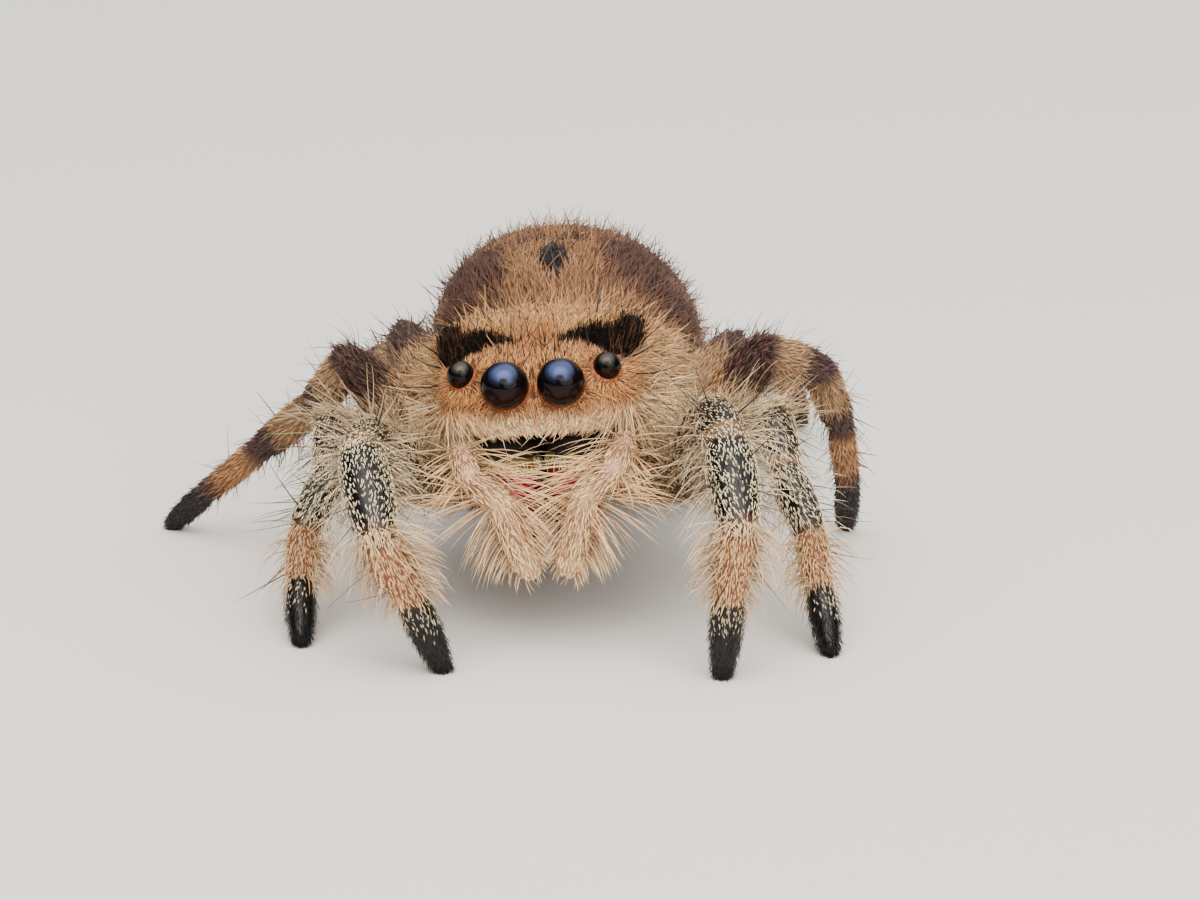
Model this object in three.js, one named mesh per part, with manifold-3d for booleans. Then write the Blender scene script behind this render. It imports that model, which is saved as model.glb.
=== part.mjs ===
// A jumping spider of the Phidippus kind: an adult female at life size, standing
// on eight feet with its head raised a little and its palps hanging.
// Millimetres. +Z is up, the head faces -Y, and +X is the animal's own left side.
// Every solid reaches to the tips of the short coat that covers it.

import * as THREE from 'three';
import { mergeVertices } from 'three/addons/utils/BufferGeometryUtils.js';
import Module from 'manifold-3d';

const wasm = await Module();
wasm.setup();

// ---------------------------------------------------------------- driving sizes

const PARTING = 0.04;          // thin cut that parts two neighbouring pieces
const MERGE = 1e-5;            // vertices closer than this are one
const SLIVER = 0.015;          // cut edges that stray less than this are straightened
const ORIGIN = [-1.12, 5.37];  // X and Y under the middle of the box round the animal
const GIRDLE = 0.45;           // height share at which a body is widest

const HEAD_ROLL = 5;           // degrees: the left side of the head is carried higher
const ROLL_HEIGHT = 2.5;       // height of the long axis that the head rolls about

const CARAPACE = {
  front: -0.06, rear: 6.05,    // along Y
  faceHalfWidth: 1.72, halfWidth: 2.42,
  faceRoof: 4.98, roof: 5.33, rearDrop: 1.9,
  faceHem: 3.55, hem: 2.72,
  nose: 0.14, noseBlunt: 3, noseFull: 0.45,  // share of the length that rounds off in front
  tail: 0.4, tailBlunt: 2.6, tailFull: 0.5,  // and behind
  brow: 0.1, browDrop: 0.55,                 // share over which the roof rolls down to the face
  faceSquareness: 3, squareness: 2.2,
  around: 20, along: 14,
};
const STERNUM = {
  front: 1.25, rear: 5.35, halfWidth: 0.92, top: 2.62, bottom: 1.7,
  blunt: 3, squareness: 2.5,
  around: 12, along: 7,
};
const ABDOMEN = {
  front: 6.15, rear: 13.25, halfWidth: 2.66, top: 5.0, bottom: 0.62,
  frontX: 0, rearX: -0.75,  // the abdomen is carried a little to the right
  tailDrop: 0.35,
  fullness: 2.3, skew: 0.86,  // how full the egg is, and how far forward it is fullest
  squareness: 2.1,
  around: 20, along: 14,
};
const SPINNERET = {
  length: 0.75, base: 0.26, tip: 0.25, spread: 0.28,
  inset: 0.55, level: 0.42, drop: 0.2,
};
const PEDICEL = { from: [0, 5.6, 2.75], to: [-0.1, 6.9, 2.85], radius: 0.42 };

// centre and radius of each eye on the left, in the head's own frame
const EYES = [
  { name: 'anterior_median', at: [0.5, 0.12, 4.6], radius: 0.43, around: 12, rings: 8 },
  { name: 'anterior_lateral', at: [1.3, 0.5, 4.74], radius: 0.25, around: 9, rings: 6 },
  { name: 'posterior_median', at: [1.56, 1.3, 4.83], radius: 0.1, around: 6, rings: 4 },
  { name: 'posterior_lateral', at: [1.63, 2.15, 4.98], radius: 0.21, around: 9, rings: 5 },
];

// the tuft of bristles above the outer end of each brow, on the left, in the head's frame
const TUFT = { root: [1.46, 1.62, 5.08], tip: [1.66, 1.54, 5.52], rootRadius: 0.26, tipRadius: 0.19 };

const CHELICERA = {
  root: [0.6, 0.72, 3.35], tip: [0.55, 0.4, 1.62],
  rootRadius: 0.56, tipRadius: 0.4, swell: 0.05,
  fangTip: [0.2, 0.62, 1.3], fangRadius: 0.26,
};

// joints of the left palp in the head's frame; the right one mirrors it about SWAY
const PALP = {
  sway: 0.1,
  joints: {
    base: [1.3, 1.12, 2.15], knee: [1.46, -0.2, 3.5], elbow: [1.26, -0.66, 3.16],
    wrist: [0.76, -0.96, 2.82], tip: [0.36, -0.92, 1.56],
  },
  radii: { base: 0.28, knee: 0.32, elbow: 0.33, wrist: 0.36, tip: 0.36 },
  swell: 0.02,
};

// Segment lengths and end radii of each pair of legs, from the hip outwards.
const LEG_BUILD = {
  1: {
    lengths: { femur: 2.35, patella: 1.15, tibia: 1.7, metatarsus: 1.45, tarsus: 1.28 },
    radii: { hip: 0.43, trochanter: 0.43, knee: 0.43, elbow: 0.46, ankle: 0.42, wrist: 0.35, tip: 0.28 },
    swell: { coxa: 0.03, femur: 0.12, patella: 0.04, tibia: 0.07, metatarsus: 0.02, tarsus: 0.02 },
  },
  2: {
    lengths: { femur: 1.8, patella: 1.1, tibia: 1.4, metatarsus: 1.15, tarsus: 1.12 },
    radii: { hip: 0.4, trochanter: 0.4, knee: 0.38, elbow: 0.38, ankle: 0.34, wrist: 0.31, tip: 0.27 },
    swell: { coxa: 0.02, femur: 0.08, patella: 0.03, tibia: 0.05, metatarsus: 0.01, tarsus: 0.02 },
  },
  3: {
    lengths: { femur: 2.25, patella: 1.3, tibia: 1.7, metatarsus: 1.65, tarsus: 1.1 },
    radii: { hip: 0.4, trochanter: 0.4, knee: 0.36, elbow: 0.33, ankle: 0.28, wrist: 0.26, tip: 0.25 },
    swell: { coxa: 0.02, femur: 0.1, patella: 0.04, tibia: 0.04, metatarsus: 0.01, tarsus: 0.01 },
  },
  4: {
    lengths: { femur: 2.5, patella: 1.3, tibia: 2.1, metatarsus: 1.95, tarsus: 1.15 },
    radii: { hip: 0.42, trochanter: 0.42, knee: 0.37, elbow: 0.34, ankle: 0.29, wrist: 0.26, tip: 0.25 },
    swell: { coxa: 0.02, femur: 0.12, patella: 0.04, tibia: 0.05, metatarsus: 0.01, tarsus: 0.01 },
  },
};
const COXA_LENGTH = 1.4;
const HIP = {
  1: { at: [1.0, 1.95, 2.35], towards: [1, -0.25, 0] },
  2: { at: [1.05, 2.87, 2.3], towards: [1, -0.1, 0] },
  3: { at: [1.05, 3.79, 2.3], towards: [1, 0.15, 0.1] },
  4: { at: [1.0, 4.7, 2.3], towards: [0.9, 0.6, 0.2] },
};
const FOOT_AXIS_HEIGHT = 0.12; // height of the tarsus axis where the foot is cut flat

// The stance: where each foot stands, how steeply its three outer segments rise
// (tarsus, metatarsus and tibia, in degrees) and which way the leg's plane leans.
const STANCE = {
  left: {
    1: { foot: [3.32, -2.15], rise: [66, 80, 19], lean: [0.2, -0.34] },
    2: { foot: [5.13, -0.75], rise: [49, 50, 37], lean: [0.5, 0.43] },
    3: { foot: [5.1, 6.5], rise: [66, 60, 50], lean: [0.5, -0.4] },
    4: { foot: [3.9, 13.2], rise: [44, 26, 6], lean: [0.15, 0] },
  },
  right: {
    1: { foot: [-1.58, -2.2], rise: [69, 78, 19], lean: [-0.45, -0.49] },
    2: { foot: [-4.2, -0.95], rise: [59, 55, 36], lean: [-0.9, 0.8] },
    3: { foot: [-7.4, 5.6], rise: [30, 27, 27], lean: [-0.42, -0.45] },
    4: { foot: [-4.5, 12.9], rise: [44, 26, 6], lean: [-0.3, 0] },
  },
};
const SIDES = { left: 1, right: -1 };

const LIMB_SIDES = 8;          // faces round a limb
const LIMB_STATIONS = 3;       // rings between a limb's two round ends
const CAP_ANGLE = 45;          // degrees: where each round end has its middle ring

// ---------------------------------------------------------------- finishes

const FINISHES = {
  coat: { color: 0xb79d7c, roughness: 0.85, metalness: 0 },
  abdomen: { color: 0xa58e73, roughness: 0.85, metalness: 0 },
  chitin: { color: 0x5d3b2b, roughness: 0.5, metalness: 0 },
  palp: { color: 0xd9c3a4, roughness: 0.85, metalness: 0 },
  chelicera: { color: 0xa2446e, roughness: 0.3, metalness: 0.4 },
  eye: { color: 0x0b0a0d, roughness: 0.05, metalness: 0 },
  femur: { color: 0x9a8468, roughness: 0.85, metalness: 0 },
  patella: { color: 0x4d4a47, roughness: 0.7, metalness: 0 },
  tibia: { color: 0x2d3238, roughness: 0.6, metalness: 0 },
  metatarsus: { color: 0xc88d61, roughness: 0.8, metalness: 0 },
  tarsus: { color: 0x1f2023, roughness: 0.7, metalness: 0 },
};

// ---------------------------------------------------------------- helpers

const vector = (values) => new THREE.Vector3(...values);
const mix = (a, b, t) => a + (b - a) * t;

function ease(from, to, value) {
  return THREE.MathUtils.smoothstep(value, from, to);
}

// A closed geometry as a manifold solid; position alone decides which vertices merge.
function solidOf(geometry) {
  const bare = new THREE.BufferGeometry();
  bare.setAttribute('position', geometry.getAttribute('position'));
  bare.setIndex(geometry.getIndex());
  const merged = mergeVertices(bare, MERGE);
  const mesh = new wasm.Mesh({
    numProp: 3,
    vertProperties: new Float32Array(merged.getAttribute('position').array),
    triVerts: new Uint32Array(merged.getIndex().array),
  });
  return new wasm.Manifold(mesh);
}

function geometryOf(solid) {
  const mesh = solid.simplify(SLIVER).getMesh();
  const geometry = new THREE.BufferGeometry();
  geometry.setAttribute('position', new THREE.BufferAttribute(mesh.vertProperties, 3));
  geometry.setIndex(new THREE.BufferAttribute(mesh.triVerts, 1));
  geometry.computeVertexNormals();
  return geometry;
}

// The head and the leg roots share one small roll about the long axis of the body.
function headMatrix() {
  const up = new THREE.Matrix4().makeTranslation(0, 0, ROLL_HEIGHT);
  const turn = new THREE.Matrix4().makeRotationY(-THREE.MathUtils.degToRad(HEAD_ROLL));
  const down = new THREE.Matrix4().makeTranslation(0, 0, -ROLL_HEIGHT);
  return up.multiply(turn).multiply(down);
}

const rolled = (point) => vector(point).applyMatrix4(headMatrix());

// A point given on the head's left side, or its mirror image on the right.
const headPoint = (point, side) => rolled([side * point[0], point[1], point[2]]);

// Everything on the far side of a plane, as one large block.
function halfSpace(point, normal, size = 40) {
  const block = new THREE.BoxGeometry(size, size, size);
  block.translate(0, 0, size / 2);
  const turn = new THREE.Quaternion().setFromUnitVectors(new THREE.Vector3(0, 0, 1), normal);
  block.applyQuaternion(turn);
  block.translate(point.x, point.y, point.z);
  return solidOf(block);
}

// A solid of rings along Y. Each ring is a superellipse whose half width, top and
// bottom are functions of t, from 0 at the front to 1 at the rear; both ends close
// on a point. t is spaced by a cosine, so the rings crowd at the rounded ends.
function ringedBody({ front, rear, around, along, halfWidth, top, bottom, middle, power, grow = 0 }) {
  const positions = [];
  const faces = [];
  const length = rear - front;
  const place = (t, angle, scale) => {
    const spread = Math.sign(Math.cos(angle)) * Math.abs(Math.cos(angle)) ** (2 / power(t));
    const rise = Math.sign(Math.sin(angle)) * Math.abs(Math.sin(angle)) ** (2 / power(t));
    const level = mix(bottom(t), top(t), GIRDLE);
    const reach = rise > 0 ? top(t) - level : level - bottom(t);
    const stretch = 1 + (2 * grow) / length;
    return [
      middle(t) + spread * (halfWidth(t) + grow) * scale,
      mix(front, rear, 0.5) + (mix(front, rear, t) - mix(front, rear, 0.5)) * stretch,
      level + rise * (reach + grow) * scale,
    ];
  };
  positions.push(...place(0, 0, 0));
  for (let ring = 1; ring < along; ring += 1) {
    const t = (1 - Math.cos((Math.PI * ring) / along)) / 2;
    for (let step = 0; step < around; step += 1) {
      positions.push(...place(t, (2 * Math.PI * step) / around, 1));
    }
  }
  positions.push(...place(1, 0, 0));
  const last = positions.length / 3 - 1;
  for (let step = 0; step < around; step += 1) {
    const next = (step + 1) % around;
    faces.push(0, 1 + step, 1 + next);
    for (let ring = 0; ring < along - 2; ring += 1) {
      const here = 1 + ring * around;
      const there = here + around;
      faces.push(here + step, there + next, here + next);
      faces.push(here + step, there + step, there + next);
    }
    const base = last - around;
    faces.push(base + step, last, base + next);
  }
  const geometry = new THREE.BufferGeometry();
  geometry.setAttribute('position', new THREE.Float32BufferAttribute(positions, 3));
  geometry.setIndex(faces);
  return geometry;
}

// A tapered rod with round ends between two points: a lathe along its own axis.
function limbGeometry(from, to, startRadius, endRadius, swell = 0, grow = 0) {
  const axis = to.clone().sub(from);
  const length = axis.length();
  const cap = THREE.MathUtils.degToRad(CAP_ANGLE);
  const first = startRadius + grow;
  const final = endRadius + grow;
  const profile = [new THREE.Vector2(0, -first)];
  profile.push(new THREE.Vector2(first * Math.sin(cap), -first * Math.cos(cap)));
  for (let station = 0; station < LIMB_STATIONS; station += 1) {
    const t = station / (LIMB_STATIONS - 1);
    const radius = mix(first, final, t) + swell * Math.sin(Math.PI * t);
    profile.push(new THREE.Vector2(radius, length * t));
  }
  profile.push(new THREE.Vector2(final * Math.sin(cap), length + final * Math.cos(cap)));
  profile.push(new THREE.Vector2(0, length + final));
  const geometry = new THREE.LatheGeometry(profile, LIMB_SIDES);
  const turn = new THREE.Quaternion().setFromUnitVectors(
    new THREE.Vector3(0, 1, 0),
    axis.normalize(),
  );
  geometry.applyQuaternion(turn);
  geometry.translate(from.x, from.y, from.z);
  return geometry;
}

const limb = (...sizes) => solidOf(limbGeometry(...sizes));

// A chain of limb segments, parted at each joint by a thin cut through the bisector.
// points: joint positions; forms: one uncut solid for each stretch between two of them.
function partChain(points, forms) {
  return forms.map((form, index) => {
    let piece = form;
    const along = points[index + 1].clone().sub(points[index]).normalize();
    if (index > 0) {
      const before = points[index].clone().sub(points[index - 1]).normalize();
      const normal = before.add(along).normalize();
      const edge = points[index].clone().addScaledVector(normal, PARTING / 2);
      piece = piece.intersect(halfSpace(edge, normal));
    }
    if (index < forms.length - 1) {
      const after = points[index + 2].clone().sub(points[index + 1]).normalize();
      const normal = after.add(along).normalize();
      const edge = points[index + 1].clone().addScaledVector(normal, -PARTING / 2);
      piece = piece.subtract(halfSpace(edge, normal));
    }
    return piece;
  });
}

// ---------------------------------------------------------------- body forms

function carapaceForm(grow = 0) {
  const c = CARAPACE;
  const geometry = ringedBody({
    ...c,
    grow,
    halfWidth: (t) => {
      const width = mix(c.faceHalfWidth, c.halfWidth, ease(0, 0.55, t));
      const ahead = Math.max(0, (c.nose - t) / c.nose);
      const behind = Math.max(0, (t - 1 + c.tail) / c.tail);
      const nose = (1 - ahead ** c.noseBlunt) ** c.noseFull;
      const tail = Math.max(0, 1 - behind ** c.tailBlunt) ** c.tailFull;
      return width * nose * tail;
    },
    top: (t) => {
      const roof = mix(c.faceRoof, c.roof, ease(0, 0.35, t));
      const brow = c.browDrop * Math.max(0, (c.brow - t) / c.brow) ** 3;
      return roof - brow - c.rearDrop * ease(0.42, 1.05, t);
    },
    bottom: (t) => mix(c.faceHem, c.hem, ease(0, 0.4, t)),
    middle: () => 0,
    power: (t) => mix(c.faceSquareness, c.squareness, ease(0.2, 0.8, t)),
  });
  return solidOf(geometry.applyMatrix4(headMatrix()));
}

function tuftForm(side) {
  const { root, tip, rootRadius, tipRadius } = TUFT;
  return limb(headPoint(root, side), headPoint(tip, side), rootRadius, tipRadius);
}

function sternumForm(grow = 0) {
  const s = STERNUM;
  const round = (t) => Math.sqrt(Math.max(0, 1 - Math.abs(2 * t - 1) ** s.blunt));
  const geometry = ringedBody({
    ...s,
    grow,
    halfWidth: (t) => s.halfWidth * round(t),
    top: () => s.top,
    bottom: () => s.bottom,
    middle: () => 0,
    power: () => s.squareness,
  });
  return solidOf(geometry.applyMatrix4(headMatrix()));
}

function abdomenForm(grow = 0) {
  const a = ABDOMEN;
  const centre = mix(a.bottom, a.top, 0.5);
  const egg = (t) => Math.sqrt(Math.max(0, 1 - Math.abs(2 * t ** a.skew - 1) ** a.fullness));
  const geometry = ringedBody({
    ...a,
    grow,
    halfWidth: (t) => a.halfWidth * egg(t),
    top: (t) => mix(centre, a.top, egg(t)) - a.tailDrop * t * t,
    bottom: (t) => mix(centre, a.bottom, egg(t)) - a.tailDrop * t * t * (1 - egg(t)),
    middle: (t) => mix(a.frontX, a.rearX, t),
    power: () => a.squareness,
  });
  return solidOf(geometry);
}

function spinnerets() {
  const { length, base, tip, spread, inset, level, drop } = SPINNERET;
  const height = mix(ABDOMEN.bottom, ABDOMEN.top, level);
  const root = vector([ABDOMEN.rearX, ABDOMEN.rear - inset, height]);
  return Object.values(SIDES).map((side) => {
    const end = root.clone().add(vector([side * spread * 0.5, length, -drop]));
    const start = root.clone().add(vector([side * spread, 0, 0]));
    return limb(start, end, base, tip);
  });
}

function eyeGeometry(eye, side, grow = 0) {
  const geometry = new THREE.SphereGeometry(eye.radius + grow, eye.around, eye.rings);
  geometry.rotateX(Math.PI / 2);
  geometry.translate(side * eye.at[0], eye.at[1], eye.at[2]);
  return geometry.applyMatrix4(headMatrix());
}

function cheliceraForm(side, grow = 0) {
  const c = CHELICERA;
  const root = headPoint(c.root, side);
  const tip = headPoint(c.tip, side);
  const basal = limb(root, tip, c.rootRadius, c.tipRadius, c.swell, grow);
  const fang = limb(tip, headPoint(c.fangTip, side), c.fangRadius, c.fangRadius, 0, grow);
  return basal.add(fang);
}

function palpJoints(side) {
  return Object.values(PALP.joints).map((p) => rolled([side * p[0] + PALP.sway, p[1], p[2]]));
}

// ---------------------------------------------------------------- legs

// Joint points of one leg, hip first. The three outer segments rise from the foot at
// their stated angles in a plane that leans; the femur and patella then bridge what
// is left between trochanter and tibia as two sides of a triangle, knee upwards.
function legJoints(pair, sideName) {
  const side = SIDES[sideName];
  const { foot, rise, lean } = STANCE[sideName][pair];
  const { lengths } = LEG_BUILD[pair];
  const mirror = (values) => [side * values[0], values[1], values[2]];
  const hip = rolled(mirror(HIP[pair].at));
  const towards = vector(mirror(HIP[pair].towards)).normalize();
  const trochanter = hip.clone().addScaledVector(towards, COXA_LENGTH);
  const up = vector([lean[0], lean[1], 1]).normalize();
  const tip = vector([foot[0], foot[1], FOOT_AXIS_HEIGHT]);
  const out = tip.clone().sub(trochanter);
  out.addScaledVector(up, -out.dot(up)).normalize();
  const outer = [tip];
  [lengths.tarsus, lengths.metatarsus, lengths.tibia].forEach((length, index) => {
    const angle = THREE.MathUtils.degToRad(rise[index]);
    const next = outer[0].clone();
    next.addScaledVector(out, -length * Math.cos(angle));
    next.addScaledVector(up, length * Math.sin(angle));
    outer.unshift(next);
  });
  const span = outer[0].clone().sub(trochanter);
  const reach = span.length();
  const inner = (lengths.femur ** 2 + reach ** 2 - lengths.patella ** 2) / (2 * lengths.femur * reach);
  const angle = Math.acos(THREE.MathUtils.clamp(inner, -1, 1));
  span.normalize();
  const across = up.clone().addScaledVector(span, -up.dot(span)).normalize();
  const knee = trochanter.clone();
  knee.addScaledVector(span, lengths.femur * Math.cos(angle));
  knee.addScaledVector(across, lengths.femur * Math.sin(angle));
  return [hip, trochanter, knee, ...outer];
}

// ---------------------------------------------------------------- assembly

const spider = new THREE.Group();
spider.position.set(-ORIGIN[0], -ORIGIN[1], 0);

function addPiece(name, solid, finish) {
  const mesh = new THREE.Mesh(geometryOf(solid), new THREE.MeshStandardMaterial(FINISHES[finish]));
  mesh.name = name;
  spider.add(mesh);
}

function addBody() {
  const room = carapaceForm(PARTING);
  let carapace = carapaceForm();
  for (const side of Object.values(SIDES)) {
    carapace = carapace.add(tuftForm(side));
    for (const eye of EYES) {
      carapace = carapace.subtract(solidOf(eyeGeometry(eye, side, PARTING)));
    }
  }
  addPiece('carapace', carapace, 'coat');
  addPiece('sternum', sternumForm().subtract(room), 'chitin');
  const abdomen = spinnerets().reduce((body, tube) => body.add(tube), abdomenForm());
  addPiece('abdomen', abdomen, 'abdomen');
  const pedicel = limb(vector(PEDICEL.from), vector(PEDICEL.to), PEDICEL.radius, PEDICEL.radius);
  addPiece('pedicel', pedicel.subtract(room).subtract(abdomenForm(PARTING)), 'chitin');
}

function addEyes() {
  for (const [sideName, side] of Object.entries(SIDES)) {
    for (const eye of EYES) {
      addPiece(`eye_${eye.name}_${sideName}`, solidOf(eyeGeometry(eye, side)), 'eye');
    }
  }
}

function addMouthparts() {
  const room = carapaceForm(PARTING);
  for (const [sideName, side] of Object.entries(SIDES)) {
    addPiece(`chelicera_${sideName}`, cheliceraForm(side).subtract(room), 'chelicera');
    const joints = palpJoints(side);
    const radii = Object.values(PALP.radii);
    const [femur, patella, tibia, tarsus] = joints.slice(1).map(
      (end, index) => limb(joints[index], end, radii[index], radii[index + 1], PALP.swell),
    );
    const points = [joints[0], joints[1], joints[3], joints[4]];
    const pieces = partChain(points, [femur, patella.add(tibia), tarsus]);
    pieces[0] = pieces[0].subtract(room).subtract(cheliceraForm(side, PARTING));
    addPiece(`palp_${sideName}_femur`, pieces[0], 'palp');
    addPiece(`palp_${sideName}_tibia`, pieces[1], 'palp');
    addPiece(`palp_${sideName}_tarsus`, pieces[2], 'palp');
  }
}

function addLegs() {
  const bodyRoom = [carapaceForm, sternumForm, abdomenForm].map((form) => form(PARTING));
  const floor = halfSpace(new THREE.Vector3(), new THREE.Vector3(0, 0, 1));
  const names = ['femur', 'patella', 'tibia', 'metatarsus', 'tarsus'];
  for (const sideName of Object.keys(SIDES)) {
    for (const pair of Object.keys(LEG_BUILD)) {
      const { radii, swell } = LEG_BUILD[pair];
      const ends = Object.values(radii);
      const joints = legJoints(pair, sideName);
      const swells = [swell.coxa, ...names.map((name) => swell[name])];
      const forms = swells.map(
        (bulge, index) => limb(joints[index], joints[index + 1], ends[index], ends[index + 1], bulge),
      );
      const coxa = forms.shift();
      const pieces = partChain(joints.slice(1), forms);
      pieces[0] = bodyRoom.reduce((piece, room) => piece.subtract(room), pieces[0].add(coxa));
      const foot = pieces.length - 1;
      pieces[foot] = pieces[foot].intersect(floor);
      names.forEach((name, index) => {
        addPiece(`leg_${sideName}_${pair}_${name}`, pieces[index], name);
      });
    }
  }
}

addBody();
addEyes();
addMouthparts();
addLegs();

export default spider;
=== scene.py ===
"""A jumping spider at life size: one fused skin, eight eyes, two jaws and a coat of solid hairs.

Shapes are worked out in millimetres, in the animal's own coordinates: the face looks along -Y,
+Z is up, +X is the animal's left, and Y is 0 at the front pair of eyes. The head has a frame of
its own, in which it is level. A finished mesh is moved to the frame's origin and scaled to metres.
"""
import logging
import math
from abc import ABC, abstractmethod
from collections.abc import Callable, Sequence
from dataclasses import dataclass
from enum import Enum

import bpy
import numpy as np
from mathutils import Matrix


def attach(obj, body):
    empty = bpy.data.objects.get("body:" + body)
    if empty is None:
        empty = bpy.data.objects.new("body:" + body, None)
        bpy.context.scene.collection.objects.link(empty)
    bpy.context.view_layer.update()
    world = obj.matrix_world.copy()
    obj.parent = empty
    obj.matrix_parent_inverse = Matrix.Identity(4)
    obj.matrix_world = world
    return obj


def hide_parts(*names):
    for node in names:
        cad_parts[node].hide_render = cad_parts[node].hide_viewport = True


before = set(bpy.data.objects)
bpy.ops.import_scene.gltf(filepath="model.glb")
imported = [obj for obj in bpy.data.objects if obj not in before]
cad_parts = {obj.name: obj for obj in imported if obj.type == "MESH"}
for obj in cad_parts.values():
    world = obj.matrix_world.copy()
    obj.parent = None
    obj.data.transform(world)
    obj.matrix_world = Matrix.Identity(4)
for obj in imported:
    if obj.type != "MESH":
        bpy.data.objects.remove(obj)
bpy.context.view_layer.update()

Array = np.ndarray
Pair = tuple[float, float]
Triple = tuple[float, float, float]
Mesh = tuple[Array, Array]
Profile = tuple[Array, Array, Array, Array, Array]
Socket = bpy.types.NodeSocket
LOG = logging.getLogger("spider")

MM = 0.001
ORIGIN = np.array([-1.12, 5.37, 0.0])
PATCH = 0.003
FLOOR_CLEARANCE = 0.004
HEAD_ROLL = 5.0
ROLL_HEIGHT = 2.5
GIRDLE = 0.45
FULL_TURN = 2.0 * math.pi


class Side(Enum):
    """Which side of the animal a piece belongs to; the value is the sign of its X."""

    LEFT = 1
    RIGHT = -1

    @property
    def word(self) -> str:
        """The side's name as it stands in the names of nodes."""
        return self.name.lower()

    @property
    def mirror(self) -> Array:
        """Factors that move a point of the left side to this side."""
        return vec(self.value, 1, 1)


class Outline(Enum):
    """How the width of a hair runs from root to tip."""

    SCALE = "scale"
    HAIR = "hair"
    SPINE = "spine"


# ---- numbers and vectors


def vec(*values: float) -> Array:
    """A vector of floats."""
    return np.array(values, float)


def stacked(*parts: Array | float) -> Array:
    """Coordinates put together as points; a single number counts for all the points."""
    return np.stack(np.broadcast_arrays(*parts), axis=-1)


def mix(a: Array | float, b: Array | float, t: Array | float) -> Array:
    """The value a share t of the way from a to b."""
    return a + (b - a) * t


def ease(start: float, end: float, value: Array) -> Array:
    """A smooth step, 3x^2 - 2x^3, that is 0 at start and 1 at end."""
    x = np.clip((value - start) / (end - start), 0.0, 1.0)
    return x * x * (3.0 - 2.0 * x)


def bell(*distances: Array) -> Array:
    """A bell curve, e to minus the sum of the squared distances."""
    return np.exp(-sum(distance**2 for distance in distances))


def unit(vectors: Array) -> Array:
    """Vectors divided by their lengths."""
    return vectors / np.maximum(np.linalg.norm(vectors, axis=-1, keepdims=True), 1e-12)


def dot(a: Array, b: Array) -> Array:
    """Scalar products of two arrays of vectors, with the last axis kept."""
    return np.sum(a * b, axis=-1, keepdims=True)


def tone(red: float, green: float, blue: float) -> Array:
    """A colour given in display values of 0 to 255, as linear light."""
    shown = vec(red, green, blue) / 255.0
    return np.where(shown <= 0.04045, shown / 12.92, ((shown + 0.055) / 1.055) ** 2.4)


def layered(base: Array, *layers: tuple[Array, Array]) -> Array:
    """Colours or directions with others laid over them in turn.

    Args:
        base: One for all the points, or one for each.
        *layers: Pairs of what is laid over and each point's share of it, 0 to 1.

    Returns:
        One for each point.
    """
    colours = np.broadcast_to(base, (len(layers[0][1]), 3))
    for tint, share in layers:
        colours = colours + (tint - colours) * share[:, None]
    return colours


def ripple(points: Array, size: float, shift: float = 0.0) -> Array:
    """A soft, irregular wave in space: sines along slanting axes, multiplied and added.

    Args:
        points: Where to read it.
        size: Millimetres between neighbouring crests.
        shift: Phase, to get another pattern of the same size.

    Returns:
        One value for each point, about -1 to 1.
    """
    x, y, z = (points * (FULL_TURN / size)).T
    first = np.sin(x + 0.7 * y + shift) * np.sin(0.8 * y - z + 1.3 * shift)
    second = np.sin(1.7 * z + 0.6 * x + 2.1 * shift) * np.sin(1.3 * x - 1.1 * y + shift)
    return 0.6 * first + 0.4 * second


def lock_offsets(points: Array, size: float) -> Array:
    """From each point to the middle of its lock, a jittered centre of its cube of a lattice."""
    cell = np.floor(points / size)
    mixer = np.array([[12.99, 39.35, 73.16], [78.23, 11.14, 52.24], [37.72, 83.16, 9.15]])
    jitter = np.modf(np.sin(cell @ mixer) * 437.58)[0]
    return (cell + 0.5 + 0.3 * jitter) * size - points


def turned(points: Array, angle: float) -> Array:
    """Points turned about the roll's axis, along Y through the middle of the head, by degrees."""
    x, y, z = np.moveaxis(np.asarray(points, float), -1, 0)
    cosine, sine = math.cos(math.radians(angle)), math.sin(math.radians(angle))
    z = z - ROLL_HEIGHT
    return stacked(x * cosine - z * sine, y, x * sine + z * cosine + ROLL_HEIGHT)


def rolled(points: Array) -> Array:
    """Points of the head's own frame, in the animal's frame."""
    return turned(points, HEAD_ROLL)


def unrolled(points: Array) -> Array:
    """Points of the animal's frame, in the head's own frame."""
    return turned(points, -HEAD_ROLL)


def rolled_direction(vectors: Array) -> Array:
    """Directions of the head's frame, turned by the roll of the head."""
    return rolled(vectors + vec(0, 0, ROLL_HEIGHT)) - vec(0, 0, ROLL_HEIGHT)


# ---- meshes


def new_object(name: str, data: bpy.types.ID) -> bpy.types.Object:
    """A new object for a mesh, light or camera, linked to the scene."""
    made = bpy.data.objects.new(name, data)
    bpy.context.scene.collection.objects.link(made)
    return made


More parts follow.
